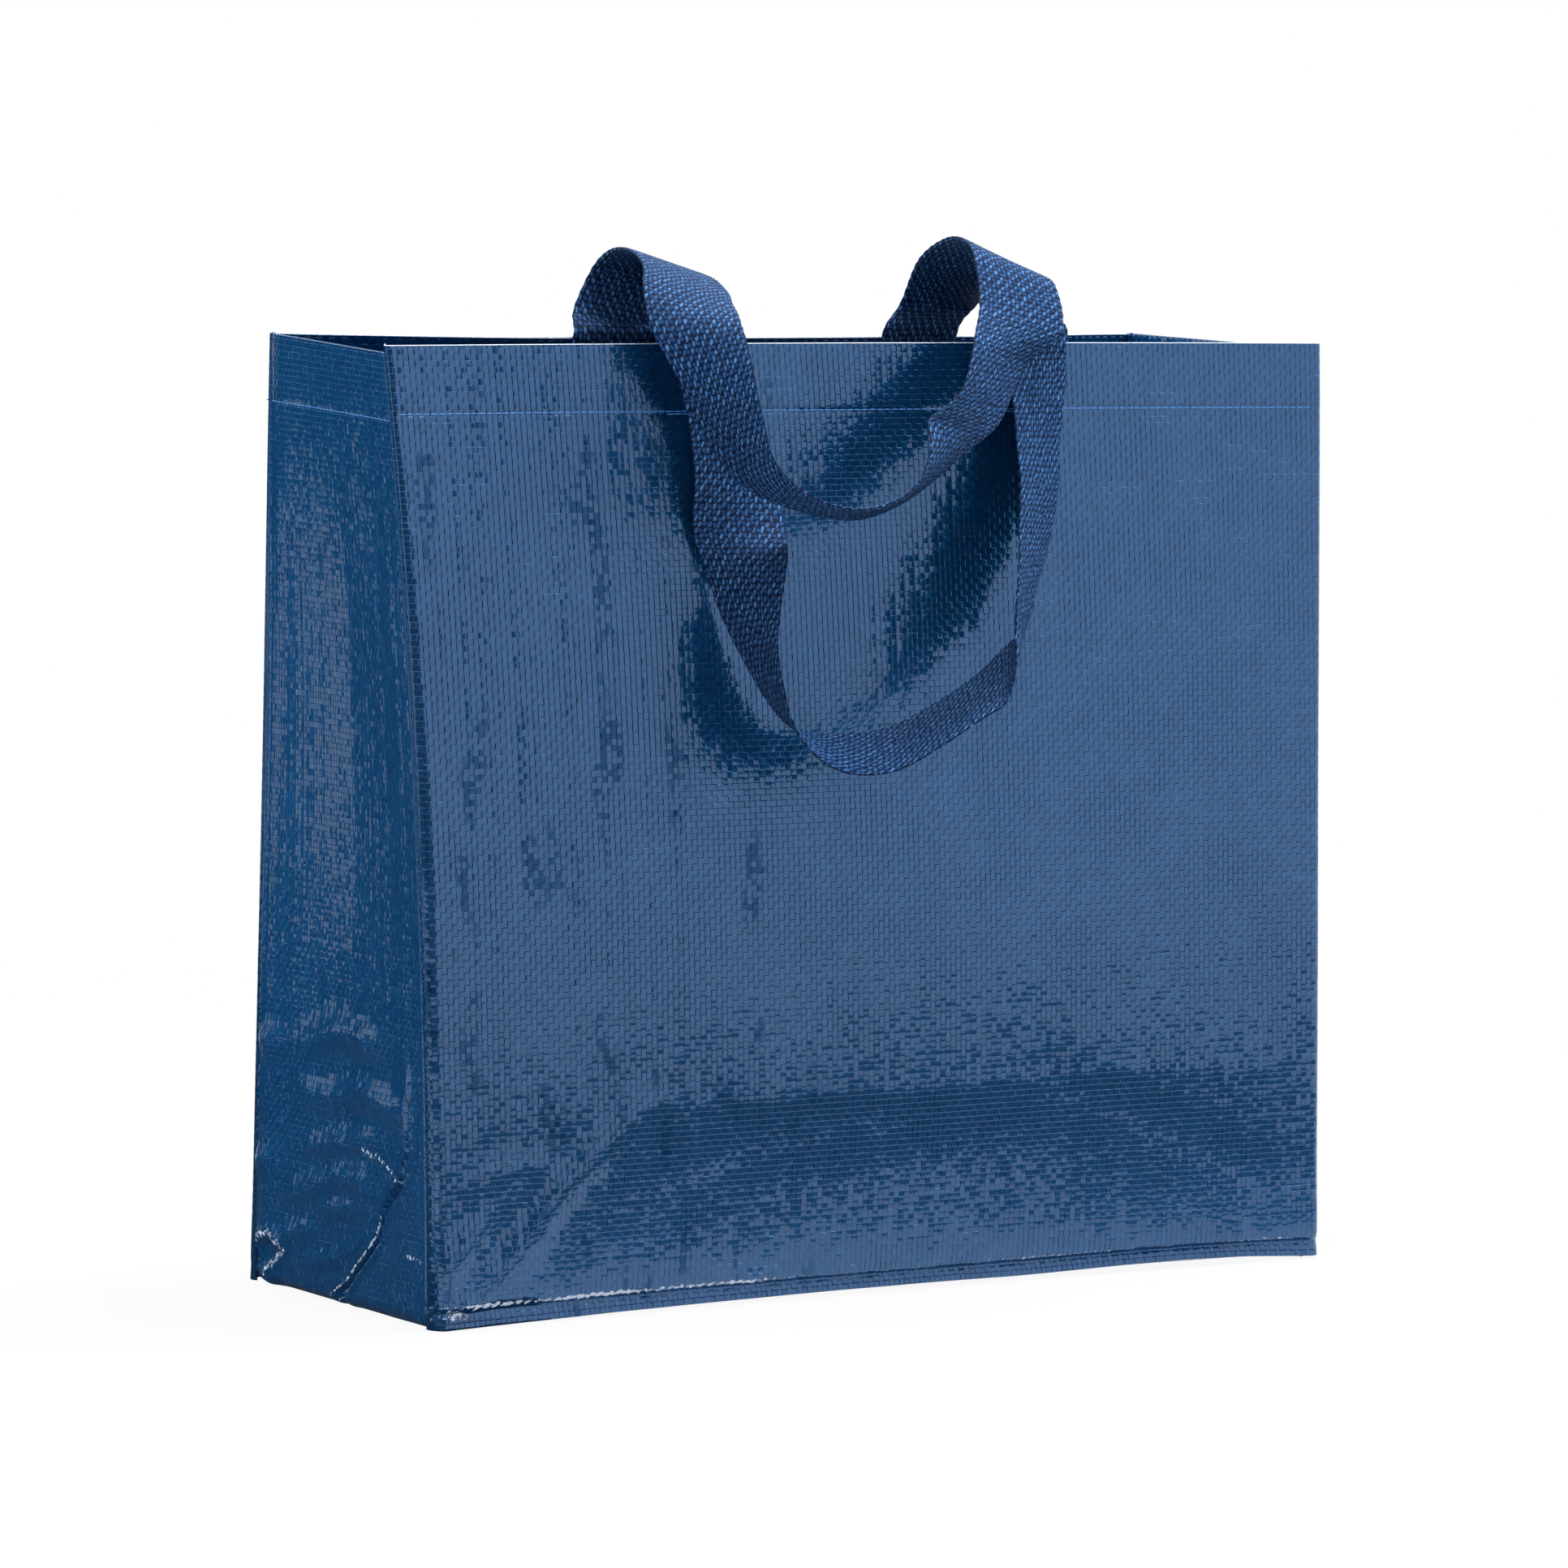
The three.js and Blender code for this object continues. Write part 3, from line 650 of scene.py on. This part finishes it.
def handle(name, panel, route, material):
    """A flat strap with woven faces and looped edges. Its columns run from outer to inner edge."""
    sections = tail_sections(panel, -1) + [route_section(*row) for row in route]
    sections = np.array(sections + tail_sections(panel, 1)[::-1])
    edges = np.stack([through(sections[:, side], ROUTE_STEPS) for side in (0, 1)], axis=1)
    run, middle, width = resample(edges, KNUCKLE_LENGTH / KNUCKLE_STEPS)
    normal = unit(np.cross(np.gradient(middle, axis=0), width))
    columns = round(STRAP_WIDTH / KNUCKLE_WIDTH) * KNUCKLE_STEPS
    across = np.linspace(-1, 1, columns + 1)
    u = np.arange(columns + 1) / KNUCKLE_STEPS
    v = (np.arange(len(run)) / KNUCKLE_STEPS)[:, None]
    over = np.sin(np.pi * u) * np.sin(np.pi * v)
    half = STRAP_THICKNESS / 2 * (0.3 + 0.45 * np.sqrt(np.clip(1 - np.abs(across) ** 16, 0, 1)))
    loops = EDGE_LOOP * np.sin(np.pi * v) * np.abs(across) ** 12 * np.sign(across)
    place = middle[:, None] + width[:, None] * (across * STRAP_WIDTH / 2 + loops)[..., None]
    layers = [place + normal[:, None] * (way * half + KNUCKLE_RISE * over)[..., None] for way in (-1, 1)]
    uv = np.stack(np.broadcast_arrays(u, v), axis=-1).reshape(-1, 2)
    vertices = np.concatenate([layer.reshape(-1, 3) for layer in layers])
    faces = sheet_faces(len(run), columns + 1)
    piece = mesh_object(name, vertices, faces, np.concatenate([uv, uv]), material)
    return piece, run[-1]


# Stitches
SEAM_END = HALF_WIDTH - HEM_END
TAIL_EDGE = HALF_SPACING + STRAP_WIDTH / 2
TAIL_SEAM, TAIL_SEAM_DEPTH = 0.46, 0.95  # shares of a strap's width and thickness


def panel_line(panel, z, low, high):
    """Points of a seam across a panel and round the start of its rolled edges, just proud of its cloth."""
    x = np.linspace(low, high, 480)
    level = np.full_like(x, z)
    height = panel_height(panel, x, level)
    radius = edge_roll(level)
    rolled = np.clip(np.abs(x) - (half_width(panel, z) - radius), 0, 0.8 * radius)
    fall = radius - np.sqrt(radius**2 - rolled**2)
    calm = 1 - (rolled / radius) ** 2
    y = panel.face(x, height) - panel.inward * (panel.relief(x, level) * calm**2 + THREAD_PROUD - fall)
    return np.stack([x, y, height], axis=-1)


def side_line(hand, z):
    """Points of a seam across a side, just proud of its cloth."""
    share = np.linspace(0.01, 0.99, 120)
    points = side_points(hand, np.full_like(share, z), np.zeros_like(share), share)
    points[..., 0] += hand * THREAD_PROUD
    return points


def tail_line(panel, hand, z):
    """Points of a seam across a strap's tail, on the side that faces into the bag."""
    x = hand * HALF_SPACING + np.linspace(-TAIL_SEAM, TAIL_SEAM, 40) * STRAP_WIDTH
    level = np.full_like(x, z)
    behind = 2 * SOLID_SHEET + SEAM_GAP + STRAP_THICKNESS * TAIL_SEAM_DEPTH
    return np.stack([x, panel.face(x, level) + panel.inward * behind, level], axis=-1)


def hem_runs(panel):
    """The hem's seam from edge to edge, and a second row of stitches at each strap's tail."""
    tacks = [(-TAIL_EDGE, STRAP_WIDTH - TAIL_EDGE), (TAIL_EDGE - STRAP_WIDTH, TAIL_EDGE - TACK_SHORT)]
    rows = [panel_line(panel, HEM_LINE - TACK_DROP, *ends) for ends in tacks]
    return [panel_line(panel, HEM_LINE, -SEAM_END - FRONT_FLARE / 2, SEAM_END), *rows]


def tail_runs(panel):
    """Two rows of stitches across each tail of one handle."""
    return [tail_line(panel, hand, z) for hand in (-1, 1) for z in (HEM_LINE, HEM_LINE - TACK_DROP)]


def foot_stitches(name, panel, material):
    path = panel_line(panel, FOOT_STITCH_HEIGHT, -SEAM_END, SEAM_END)
    return stitches(name, [path], material, FOOT_STITCH, FOOT_STITCH_GAP)


def stitches(name, paths, material, length=HEM_STITCH, gap=HEM_STITCH_GAP):
    """Runs of thread: one rounded dash after another along each path of points."""
    sides, rings, margin = 6, 5, 0.2 * MM
    vertices, faces = [], []
    for path in paths:
        run = run_along(path)
        at = lambda s: np.array([np.interp(s, run, path[:, k]) for k in range(3)])
        for start in np.arange(margin, run[-1] - length, length + gap):
            ahead = unit(at(start + length) - at(start))
            side = unit(np.cross(ahead, (0, 0, 1)))
            other = np.cross(side, ahead)
            first = len(vertices)
            for share in np.linspace(0, 1, rings):
                radius = THREAD_RADIUS * math.sin(math.pi * (0.08 + 0.84 * share)) ** 0.5
                for angle in np.arange(sides) * 2 * math.pi / sides:
                    out = radius * (math.cos(angle) * side + math.sin(angle) * other)
                    vertices.append(at(start + length * share) + out)
            faces.extend(dash_faces(first, sides, rings))
    return mesh_object(name, vertices, np.array(faces), np.zeros((len(vertices), 2)), material)


def dash_faces(first, sides, rings):
    """Quads of one stitch: its rings, and its two ends of six corners each."""
    faces = []
    for ring in range(rings - 1):
        here, there = first + ring * sides, first + (ring + 1) * sides
        for k in range(sides):
            after = (k + 1) % sides
            faces.append((here + k, there + k, there + after, here + after))
    last = first + (rings - 1) * sides
    faces += [tuple(first + k for k in (0, 1, 2, 3)), tuple(first + k for k in (0, 3, 4, 5))]
    faces += [tuple(last + k for k in (0, 3, 2, 1)), tuple(last + k for k in (0, 5, 4, 3))]
    return faces


# Materials
class Nodes:
    """Short calls that add shader nodes and link their inputs."""

    def __init__(self, tree):
        self.tree = tree
        tree.nodes.clear()

    def add(self, kind, inputs=(), **settings):
        node = self.tree.nodes.new("ShaderNode" + kind)
        for key, value in settings.items():
            setattr(node, key, value)
        for key, value in dict(inputs).items():
            if isinstance(value, bpy.types.NodeSocket):
                self.tree.links.new(value, node.inputs[key])
            else:
                node.inputs[key].default_value = value
        return node

    def math(self, operation, a, b=0.0, c=0.0):
        return self.add("Math", {0: a, 1: b, 2: c}, operation=operation).outputs[0]

    def product(self, first, *others):
        for other in others:
            first = self.math("MULTIPLY", first, other)
        return first

    def centred(self, value):
        return self.math("SUBTRACT", value, 0.5)

    def scaled(self, value, factor, start):
        return self.math("MULTIPLY_ADD", value, factor, start)

    def mix(self, factor, a, b):
        return self.add("Mix", {0: factor, 6: a, 7: b}, data_type="RGBA").outputs[2]

    def between(self, value, low, high):
        return self.add(
            "MapRange", {0: value, 1: low, 2: high}, interpolation_type="SMOOTHSTEP").outputs[0]

    def uv(self):
        return self.add("UVMap", uv_map="cloth").outputs[0]

    def flat_place(self, vector):
        return self.add("SeparateXYZ", {0: vector}).outputs[:2]

    def noise(self, vector, scale, detail=2.0, roughness=0.5):
        return self.add("TexNoise", {
            "Vector": vector, "Scale": scale, "Detail": detail, "Roughness": roughness}).outputs

    def random(self, a, b=0.0):
        """Three random numbers from 0 to 1 that belong to the whole numbers a and b."""
        place = self.add("CombineXYZ", {0: a, 1: b}).outputs[0]
        scatter = self.add("TexWhiteNoise", {"Vector": place}, noise_dimensions="2D")
        return self.add("SeparateXYZ", {0: scatter.outputs["Color"]}).outputs

    def finish(self, shader):
        self.add("OutputMaterial", {"Surface": shader.outputs[0]})


def new_material(name):
    material = bpy.data.materials.new(name)
    material.use_nodes = True
    return material, Nodes(material.node_tree)


COLUMN_TILT = 0.05  # how far one upright tape may lean, as a slope
CELL_TILT = 0.065  # how far one crossing of tapes may lean
TAPE_CROWN = 0.05  # how far a tape's face curves from edge to edge
STEP_TILT = 0.18  # slope of the small step where one tape passes over another
# Share of the tape's colour that it mirrors rather than scatters, and how rough that mirror is
PANEL_SHEEN, SIDE_SHEEN = (0.78, 0.3), (0.55, 0.4)
SHEEN_EDGE = (0.45, 0.7, 0.92, 1)  # tint of the sheen seen along the cloth
CLOTH_DARK = (0.004, 0.067, 0.2, 1)
CLOTH_LIGHT = (0.006, 0.089, 0.257, 1)
CLOTH_LINE = (0.001, 0.016, 0.06, 1)
CLOTH_LOST = (0.003, 0.038, 0.115, 1)
# Colour of the painted glints on the tapes
CLOTH_GLINT = (0.12, 0.36, 0.62, 1)
# White of the painted highlights, also of the white stress marks
CLOTH_GLINT_WEAR = (0.55, 0.62, 0.74, 1)
SIDE_GLINT_TICKS = 0.15  # share of the sides' crossings with a painted glint beside the upright tape
FILM_ROUGHNESS, FILM_IOR = 0.07, 1.6
FILM_LOSS = 0.92  # share of the film's gloss that is gone between tapes
# Fades across a crossing, from a tape's middle at 0 to its edge at 0.5
STEP_ACROSS, STEP_UP, LINE_FADE, TICK_FADE = (0.38, 0.5), (0.4, 0.5), (0.3, 0.44), (0.34, 0.44)
UPRIGHT_TICK = (0.22, 0.3), (0.46, 0.38)
# Sizes of slow changes over the cloth, as bumps for each tape
PATCH_SCALE, CLOUD_SCALE, WHITE_PATCH_SCALE = 0.07, 0.16, 1.1


class Weave:
    """Nodes of a plain weave: a point's crossing, its place there, and random numbers of that crossing.

    over is 1 where the upright tape or yarn lies on top.
    """

    def __init__(self, n, place):
        self.place = place
        self.index = [n.math("FLOOR", value) for value in place]
        self.off = [n.centred(n.math("FRACT", value)) for value in place]
        self.cell = n.random(*self.index)
        self.over = n.math("FLOORED_MODULO", n.math("ADD", *self.index), 2.0)


def tape_normal(n, weave):
    """Each crossing leans its own way, each tape is crowned, and there is a step where one passes over."""
    way = n.scaled(weave.over, 2.0, -1.0)
    column = n.product(n.centred(n.random(weave.index[0])[0]), COLUMN_TILT)
    lean = []
    for axis, fade, tilt, start in ((0, STEP_ACROSS, STEP_TILT, column), (1, STEP_UP, -STEP_TILT, 0.0)):
        off = weave.off[axis]
        step = n.product(n.math("SIGN", off), way, n.between(n.math("ABSOLUTE", off), *fade))
        slope = n.scaled(n.centred(weave.cell[axis]), CELL_TILT, start)
        slope = n.scaled(step, tilt, n.scaled(off, TAPE_CROWN, slope))
        lean.append(n.math("ADD", slope, 0.5))
    direction = n.add("CombineXYZ", {0: lean[0], 1: lean[1], 2: 1.0}).outputs[0]
    return n.add("NormalMap", {"Color": direction}, space="TANGENT", uv_map="cloth").outputs[0]


def dark_lines(n, weave, patch):
    """Shadows beside the upright tapes that lie on top, stronger in some patches."""
    line = n.between(n.math("ABSOLUTE", weave.off[0]), *LINE_FADE)
    strong = n.scaled(n.between(patch, 0.6, 0.4), 0.6, 0.4)
    return n.product(line, n.scaled(weave.over, 0.88, 0.12), n.scaled(weave.cell[1], 0.6, 0.4), strong)


def lost_gloss(n, weave):
    """Crossings with little gloss, in upright clouds on the left half of a panel."""
    streak = n.add("Mapping", {"Vector": n.uv(), "Scale": (1.0, 0.3, 1.0)}).outputs[0]
    cloud = n.between(n.noise(streak, CLOUD_SCALE)[0], 0.57, 0.66)
    some = n.math("GREATER_THAN", weave.cell[2], 0.5)
    return n.product(cloud, some, n.between(weave.place[0], 0.0, -30.0))


def bright_ticks(n, weave, patch, upright_share):
    """Painted highlights: glints over some tapes in rare short rows, and beside a share of the upright
    tapes.
    """
    row = n.random(weave.index[1], n.math("FLOOR", n.product(weave.index[0], 0.14)))
    some, rare = n.math("GREATER_THAN", weave.cell[0], 0.4), n.math("GREATER_THAN", row[0], 0.87)
    rare = n.product(some, rare, n.between(patch, 0.46, 0.54))
    glint = n.product(n.between(weave.off[1], *TICK_FADE), rare, weave.over)
    if not upright_share:
        return glint
    chosen = n.math("LESS_THAN", weave.cell[1], upright_share)
    amount = n.product(chosen, n.scaled(weave.cell[0], 0.9, 0.6))
    fades = [n.between(weave.off[0], *fade) for fade in UPRIGHT_TICK]
    return n.math("MAXIMUM", glint, n.product(*fades, amount, weave.over))


def tape_colour(n, weave, upright_share):
    """Colour of the tapes, and how much gloss film covers them."""
    patch = n.noise(n.uv(), PATCH_SCALE)[0]
    line, lost = dark_lines(n, weave, patch), lost_gloss(n, weave)
    glint = bright_ticks(n, weave, patch, upright_share)
    shade = n.scaled(weave.over, 0.3, n.product(weave.cell[2], 0.7))
    colour = n.mix(shade, CLOTH_DARK, CLOTH_LIGHT)
    colour = n.mix(n.product(lost, 0.6), colour, CLOTH_LOST)
    colour = n.mix(line, colour, CLOTH_LINE)
    # Painted glints
    colour = n.mix(n.product(glint, 0.55), colour, CLOTH_GLINT)
    dull = n.math("MAXIMUM", line, n.product(lost, 0.7))
    return colour, n.scaled(dull, -FILM_LOSS, 1.0)


def laminate_material(name, sheen, upright_share):
    """Plain-woven blue tape under a gloss film. A per-point mark paints it white: painted highlights on
    folded edges, seams and corners, and white stress marks on the left side.
    """
    material, n = new_material(name)
    weave = Weave(n, n.flat_place(n.uv()))
    normal = tape_normal(n, weave)
    colour, film = tape_colour(n, weave, upright_share)
    # Painted highlights and white stress marks, broken into patches
    glint_wear = n.add("Attribute", attribute_name="wear").outputs["Fac"]
    patchy_white = n.math("ADD", n.noise(n.uv(), WHITE_PATCH_SCALE, 3.0, 0.65)[0], 0.3)
    white = n.between(n.product(glint_wear, patchy_white), 0.62, 0.74)
    mirrored, roughness = sheen
    n.finish(n.add("BsdfPrincipled", {
        "Base Color": n.mix(white, colour, CLOTH_GLINT_WEAR), "Metallic": n.scaled(white, -mirrored, mirrored),
        "Roughness": roughness, "Specular IOR Level": 0.0, "Specular Tint": SHEEN_EDGE, "Normal": normal,
        "Coat Weight": film, "Coat Roughness": FILM_ROUGHNESS, "Coat IOR": FILM_IOR, "Coat Normal": normal}))
    return material


# Painted shade of the crevices between yarns
WEB_CREVICE_SHADE = (0.002, 0.009, 0.034, 1)
WEB_DARK = (0.0075, 0.031, 0.1, 1)
WEB_MID = (0.016, 0.062, 0.185, 1)
# Painted highlight of the raised yarns
WEB_HIGHLIGHT = (0.085, 0.24, 0.52, 1)
WEB_SHEEN = (0.25, 0.45, 0.8, 1)
YARN_WANDER = (0.9, 1.1, 0)  # how far the yarns stray from an even grid, in knuckles
HEM_THREAD = (0.03, 0.15, 0.42, 1), (0.06, 0.23, 0.57, 1)
FOOT_THREAD = (0.003, 0.022, 0.1, 1), (0.006, 0.036, 0.15, 1)


def webbing_material():
    """Coarse webbing of raised yarns of many fibres, with painted highlights on the yarns and painted shade
    in the crevices between them.
    """
    material, n = new_material("webbing")
    slow = n.noise(n.uv(), 0.6)["Color"]
    shift = n.add("VectorMath", {0: slow, 1: (-0.5, -0.5, 0)}, operation="ADD").outputs[0]
    place = n.add("VectorMath", {0: shift, 1: YARN_WANDER, 2: n.uv()}, operation="MULTIPLY_ADD")
    weave = Weave(n, n.flat_place(place.outputs[0]))
    cell, over = weave.cell, weave.over
    off_u = n.math("ADD", weave.off[0], n.scaled(cell[2], 0.2, -0.1))
    off_v = n.math("ADD", weave.off[1], n.scaled(cell[1], 0.3, -0.15))
    fibre = n.noise(n.uv(), 3.0, 5.0, 0.8)[0]
    slanted = n.scaled(off_v, 0.45, off_u)
    square_v = n.product(off_v, off_v)
    yarn = n.scaled(n.product(slanted, slanted), 2.2, n.product(square_v, 0.8))
    cross = n.scaled(square_v, 2.4, n.product(off_u, off_u))
    out = n.scaled(n.centred(fibre), 0.7, n.add("Mix", {0: over, 2: cross, 3: yarn}).outputs[0])
    raised = n.between(out, 0.46, 0.1)
    # Painted shade in the crevices between yarns
    colour = n.mix(raised, WEB_CREVICE_SHADE, n.mix(over, WEB_DARK, WEB_MID))
    # Painted highlights on the raised yarns
    shine = n.product(n.between(out, 0.28, -0.02), n.scaled(over, 0.62, 0.2), n.scaled(cell[0], 0.9, 0.15))
    colour = n.mix(shine, colour, WEB_HIGHLIGHT)
    strand = n.math("SINE", n.product(slanted, 30.0))
    height = n.scaled(strand, 0.08, n.scaled(fibre, 0.9, raised))
    bump = n.add("Bump", {"Strength": 0.6, "Distance": 0.35 * MM, "Height": height})
    n.finish(n.add("BsdfPrincipled", {
        "Base Color": colour, "Roughness": 0.6, "Specular IOR Level": 0.12, "Normal": bump.outputs[0],
        "Sheen Weight": 0.04, "Sheen Roughness": 0.35, "Sheen Tint": WEB_SHEEN}))
    return material


def thread_material(name, dark, light):
    material, n = new_material(name)
    place = n.add("TexCoord").outputs["Object"]
    colour = n.mix(n.noise(place, 900.0)[0], dark, light)
    n.finish(n.add("BsdfPrincipled", {"Base Color": colour, "Roughness": 0.45}))
    return material


# Studio
WHITE = (1, 1, 1, 1)
WORLD_LEVEL = 0.45  # light of the white surroundings on the object
FLOOR_GREY = (0.55, 0.55, 0.56, 1)
FLOOR_SIZE, FLOOR_DROP = 12.0, 0.3 * MM
NEAR_FLOOR, FAR_FLOOR, NEAR_WHITE = 0.5, 1.4, 0.92  # near the object the floor is less white
LOW_CARD_DROP = 0.1 * MM
WINDOW_SOFT, WINDOW_TOP_SOFT = 0.03, 0.04  # soft edges of a card's window, as shares of the card


def seen_directly(n):
    """1 for rays from the camera, from gloss and through glass, which see the white background."""
    path = n.add("LightPath").outputs
    first = n.math("MAXIMUM", path["Is Camera Ray"], path["Is Glossy Ray"])
    return n.math("MAXIMUM", first, path["Is Transmission Ray"])


def make_world(level):
    world = bpy.data.worlds.new("studio")
    world.use_nodes = True
    n = Nodes(world.node_tree)
    strength = n.scaled(seen_directly(n), 1.0 - level, level)
    background = n.add("Background", {"Color": WHITE, "Strength": strength})
    n.add("OutputWorld", {"Surface": background.outputs[0]})
    bpy.context.scene.world = world


def flat_object(name, corners, material):
    uv = [(0, 0), (1, 0), (1, 1), (0, 1)]
    return mesh_object(name, corners, np.array([(0, 1, 2, 3)]), uv, material)


def plan_corners(low, high, z):
    return [(*corner, z) for corner in (low, (high[0], low[1]), high, (low[0], high[1]))]


def make_floor():
    material, n = new_material("floor")
    diffuse = n.add("BsdfDiffuse", {"Color": FLOOR_GREY})
    white = n.add("Emission", {"Color": WHITE, "Strength": 1.0})
    place = n.add("TexCoord").outputs["Object"]
    away = n.add("VectorMath", {0: place}, operation="LENGTH").outputs["Value"]
    near = n.add("MapRange", {0: away, 1: NEAR_FLOOR, 2: FAR_FLOOR, 3: NEAR_WHITE, 4: 1.0}).outputs[0]
    amount = n.product(seen_directly(n), near)
    n.finish(n.add("MixShader", {0: amount, 1: diffuse.outputs[0], 2: white.outputs[0]}))
    corners = plan_corners((-FLOOR_SIZE, -FLOOR_SIZE), (FLOOR_SIZE, FLOOR_SIZE), -FLOOR_DROP)
    flat_object("floor", corners, material)


def make_lamp(name, place, target, size, power, mirrored=False):
    """A soft square lamp. Gloss mirrors the white surroundings, and the lamp itself only where asked."""
    data = bpy.data.lights.new(name, "AREA")
    data.shape, data.size, data.energy = "SQUARE", size, power
    lamp = new_object(name, data)
    lamp.visible_glossy = mirrored
    back = unit(np.subtract(place, target))
    right = unit(np.cross((0, 0, 1), back))
    lamp.matrix_world = pose_matrix(right, np.cross(back, right), back, place)


def make_card(name, corners, level, window=None):
    """A dark card that only gloss mirrors, as photographers set beside shiny objects.

    A window is a lighter part: its low and high share across and up the card, and its level.
    """
    material, n = new_material(name)
    strength = level
    if window:
        (left, right), (bottom, top), lit = window
        u, v = n.flat_place(n.uv())
        soft = WINDOW_SOFT
        edges = (u, left, soft), (u, right, -soft), (v, bottom, soft), (v, top, -WINDOW_TOP_SOFT)
        inside = n.product(*(n.between(value, edge - fade, edge + fade) for value, edge, fade in edges))
        strength = n.scaled(inside, lit - level, level)
    n.finish(n.add("Emission", {"Color": WHITE, "Strength": strength}))
    card = flat_object(name, corners, material)
    card.visible_camera = card.visible_diffuse = card.visible_shadow = card.visible_transmission = False


def upright_card(name, start, end, high, level, window=None):
    """A card standing on the floor between two points of the plan."""
    make_card(name, [(*start, 0.0), (*end, 0.0), (*end, high), (*start, high)], level, window)


def floor_card(name, low, high, level):
    """A card lying on the floor between two corners of the plan."""
    make_card(name, plan_corners(low, high, -LOW_CARD_DROP), level)


def pose_matrix(right, up, back, place):
    rows = np.eye(4)
    rows[:3] = np.column_stack([right, up, back, place])
    return Matrix(rows.tolist())


def make_camera():
    yaw, pitch, roll = CAMERA_YAW, CAMERA_PITCH, CAMERA_ROLL
    ahead = np.array([math.sin(yaw) * math.cos(pitch), math.cos(yaw) * math.cos(pitch), -math.sin(pitch)])
    level = np.array([math.cos(yaw), -math.sin(yaw), 0])
    down = np.cross(ahead, level)
    right = math.cos(roll) * level + math.sin(roll) * down
    up = math.sin(roll) * level - math.cos(roll) * down
    data = bpy.data.cameras.new("camera")
    data.sensor_width = SENSOR
    data.lens = FOCAL_PIXELS / PHOTO_PIXELS * SENSOR
    camera = new_object("camera", data)
    camera.matrix_world = pose_matrix(right, up, -ahead, CAMERA_PLACE)
    bpy.context.scene.camera = camera


def place_piece(piece, node):
    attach(piece, "root")
    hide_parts(node)


bpy.context.scene.view_settings.view_transform = "Standard"
make_camera()
make_world(WORLD_LEVEL)
make_floor()
make_lamp("key", (1.55, -0.4, 2.2), (0, -0.08, 0.3), 0.7, 66)
make_lamp("top", (0.1, -0.25, 2.3), (0, 0, 0.2), 1.2, 50, mirrored=True)
make_lamp("fill", (-2.0, 1.3, 1.0), (-0.2, 0, 0.2), 1.2, 50)
make_lamp("front", (-1.1, -2.0, 0.3), (0, 0, 0.3), 0.8, 12)
upright_card("card_back_left", (-1.6, 0.62), (-0.2, 0.62), 0.52, 0.015, ((0.64, 0.79), (0.19, 0.54), 0.75))
upright_card("card_front_left", (-1.93, 0.0), (0.25, -1.95), 1.2, 0.1)
floor_card("card_low_front", (-0.3, -0.62), (0.75, -0.2), 0.13)
floor_card("card_low_left", (-0.8, -0.1), (-0.16, 0.62), 0.05)

laminate = laminate_material("laminate", PANEL_SHEEN, 0)
side_laminate = laminate_material("side_laminate", SIDE_SHEEN, SIDE_GLINT_TICKS)
webbing = webbing_material()
hem_thread = thread_material("hem_thread", *HEM_THREAD)
foot_thread = thread_material("foot_thread", *FOOT_THREAD)
front = panel_cloth("front_cloth", FRONT, *FRONT_MESH, laminate)
back = panel_cloth("back_cloth", BACK, *BACK_MESH, laminate)
sides = side_and_base("side_and_base_cloth", SIDE_FINE, side_laminate)
front_strap, front_length = handle("front_strap", FRONT, FRONT_ROUTE, webbing)
back_strap, back_length = handle("back_strap", BACK, BACK_ROUTE, webbing)
front_hem = stitches("front_hem_thread", hem_runs(FRONT), hem_thread)
back_hem = stitches("back_hem_thread", hem_runs(BACK), hem_thread)
side_hems = stitches("side_hem_thread", [side_line(hand, HEM_LINE) for hand in (-1, 1)], hem_thread)
front_foot = foot_stitches("front_foot_thread", FRONT, foot_thread)
back_foot = foot_stitches("back_foot_thread", BACK, foot_thread)
front_tails = stitches("front_tail_thread", tail_runs(FRONT), hem_thread)
back_tails = stitches("back_tail_thread", tail_runs(BACK), hem_thread)

place_piece(front, "front_panel")
place_piece(back, "back_panel")
place_piece(sides, "side_and_base_strip")
place_piece(front_strap, "front_handle")
place_piece(back_strap, "back_handle")
for run in (front_hem, back_hem, side_hems, front_foot, back_foot, front_tails, back_tails):
    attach(run, "root")
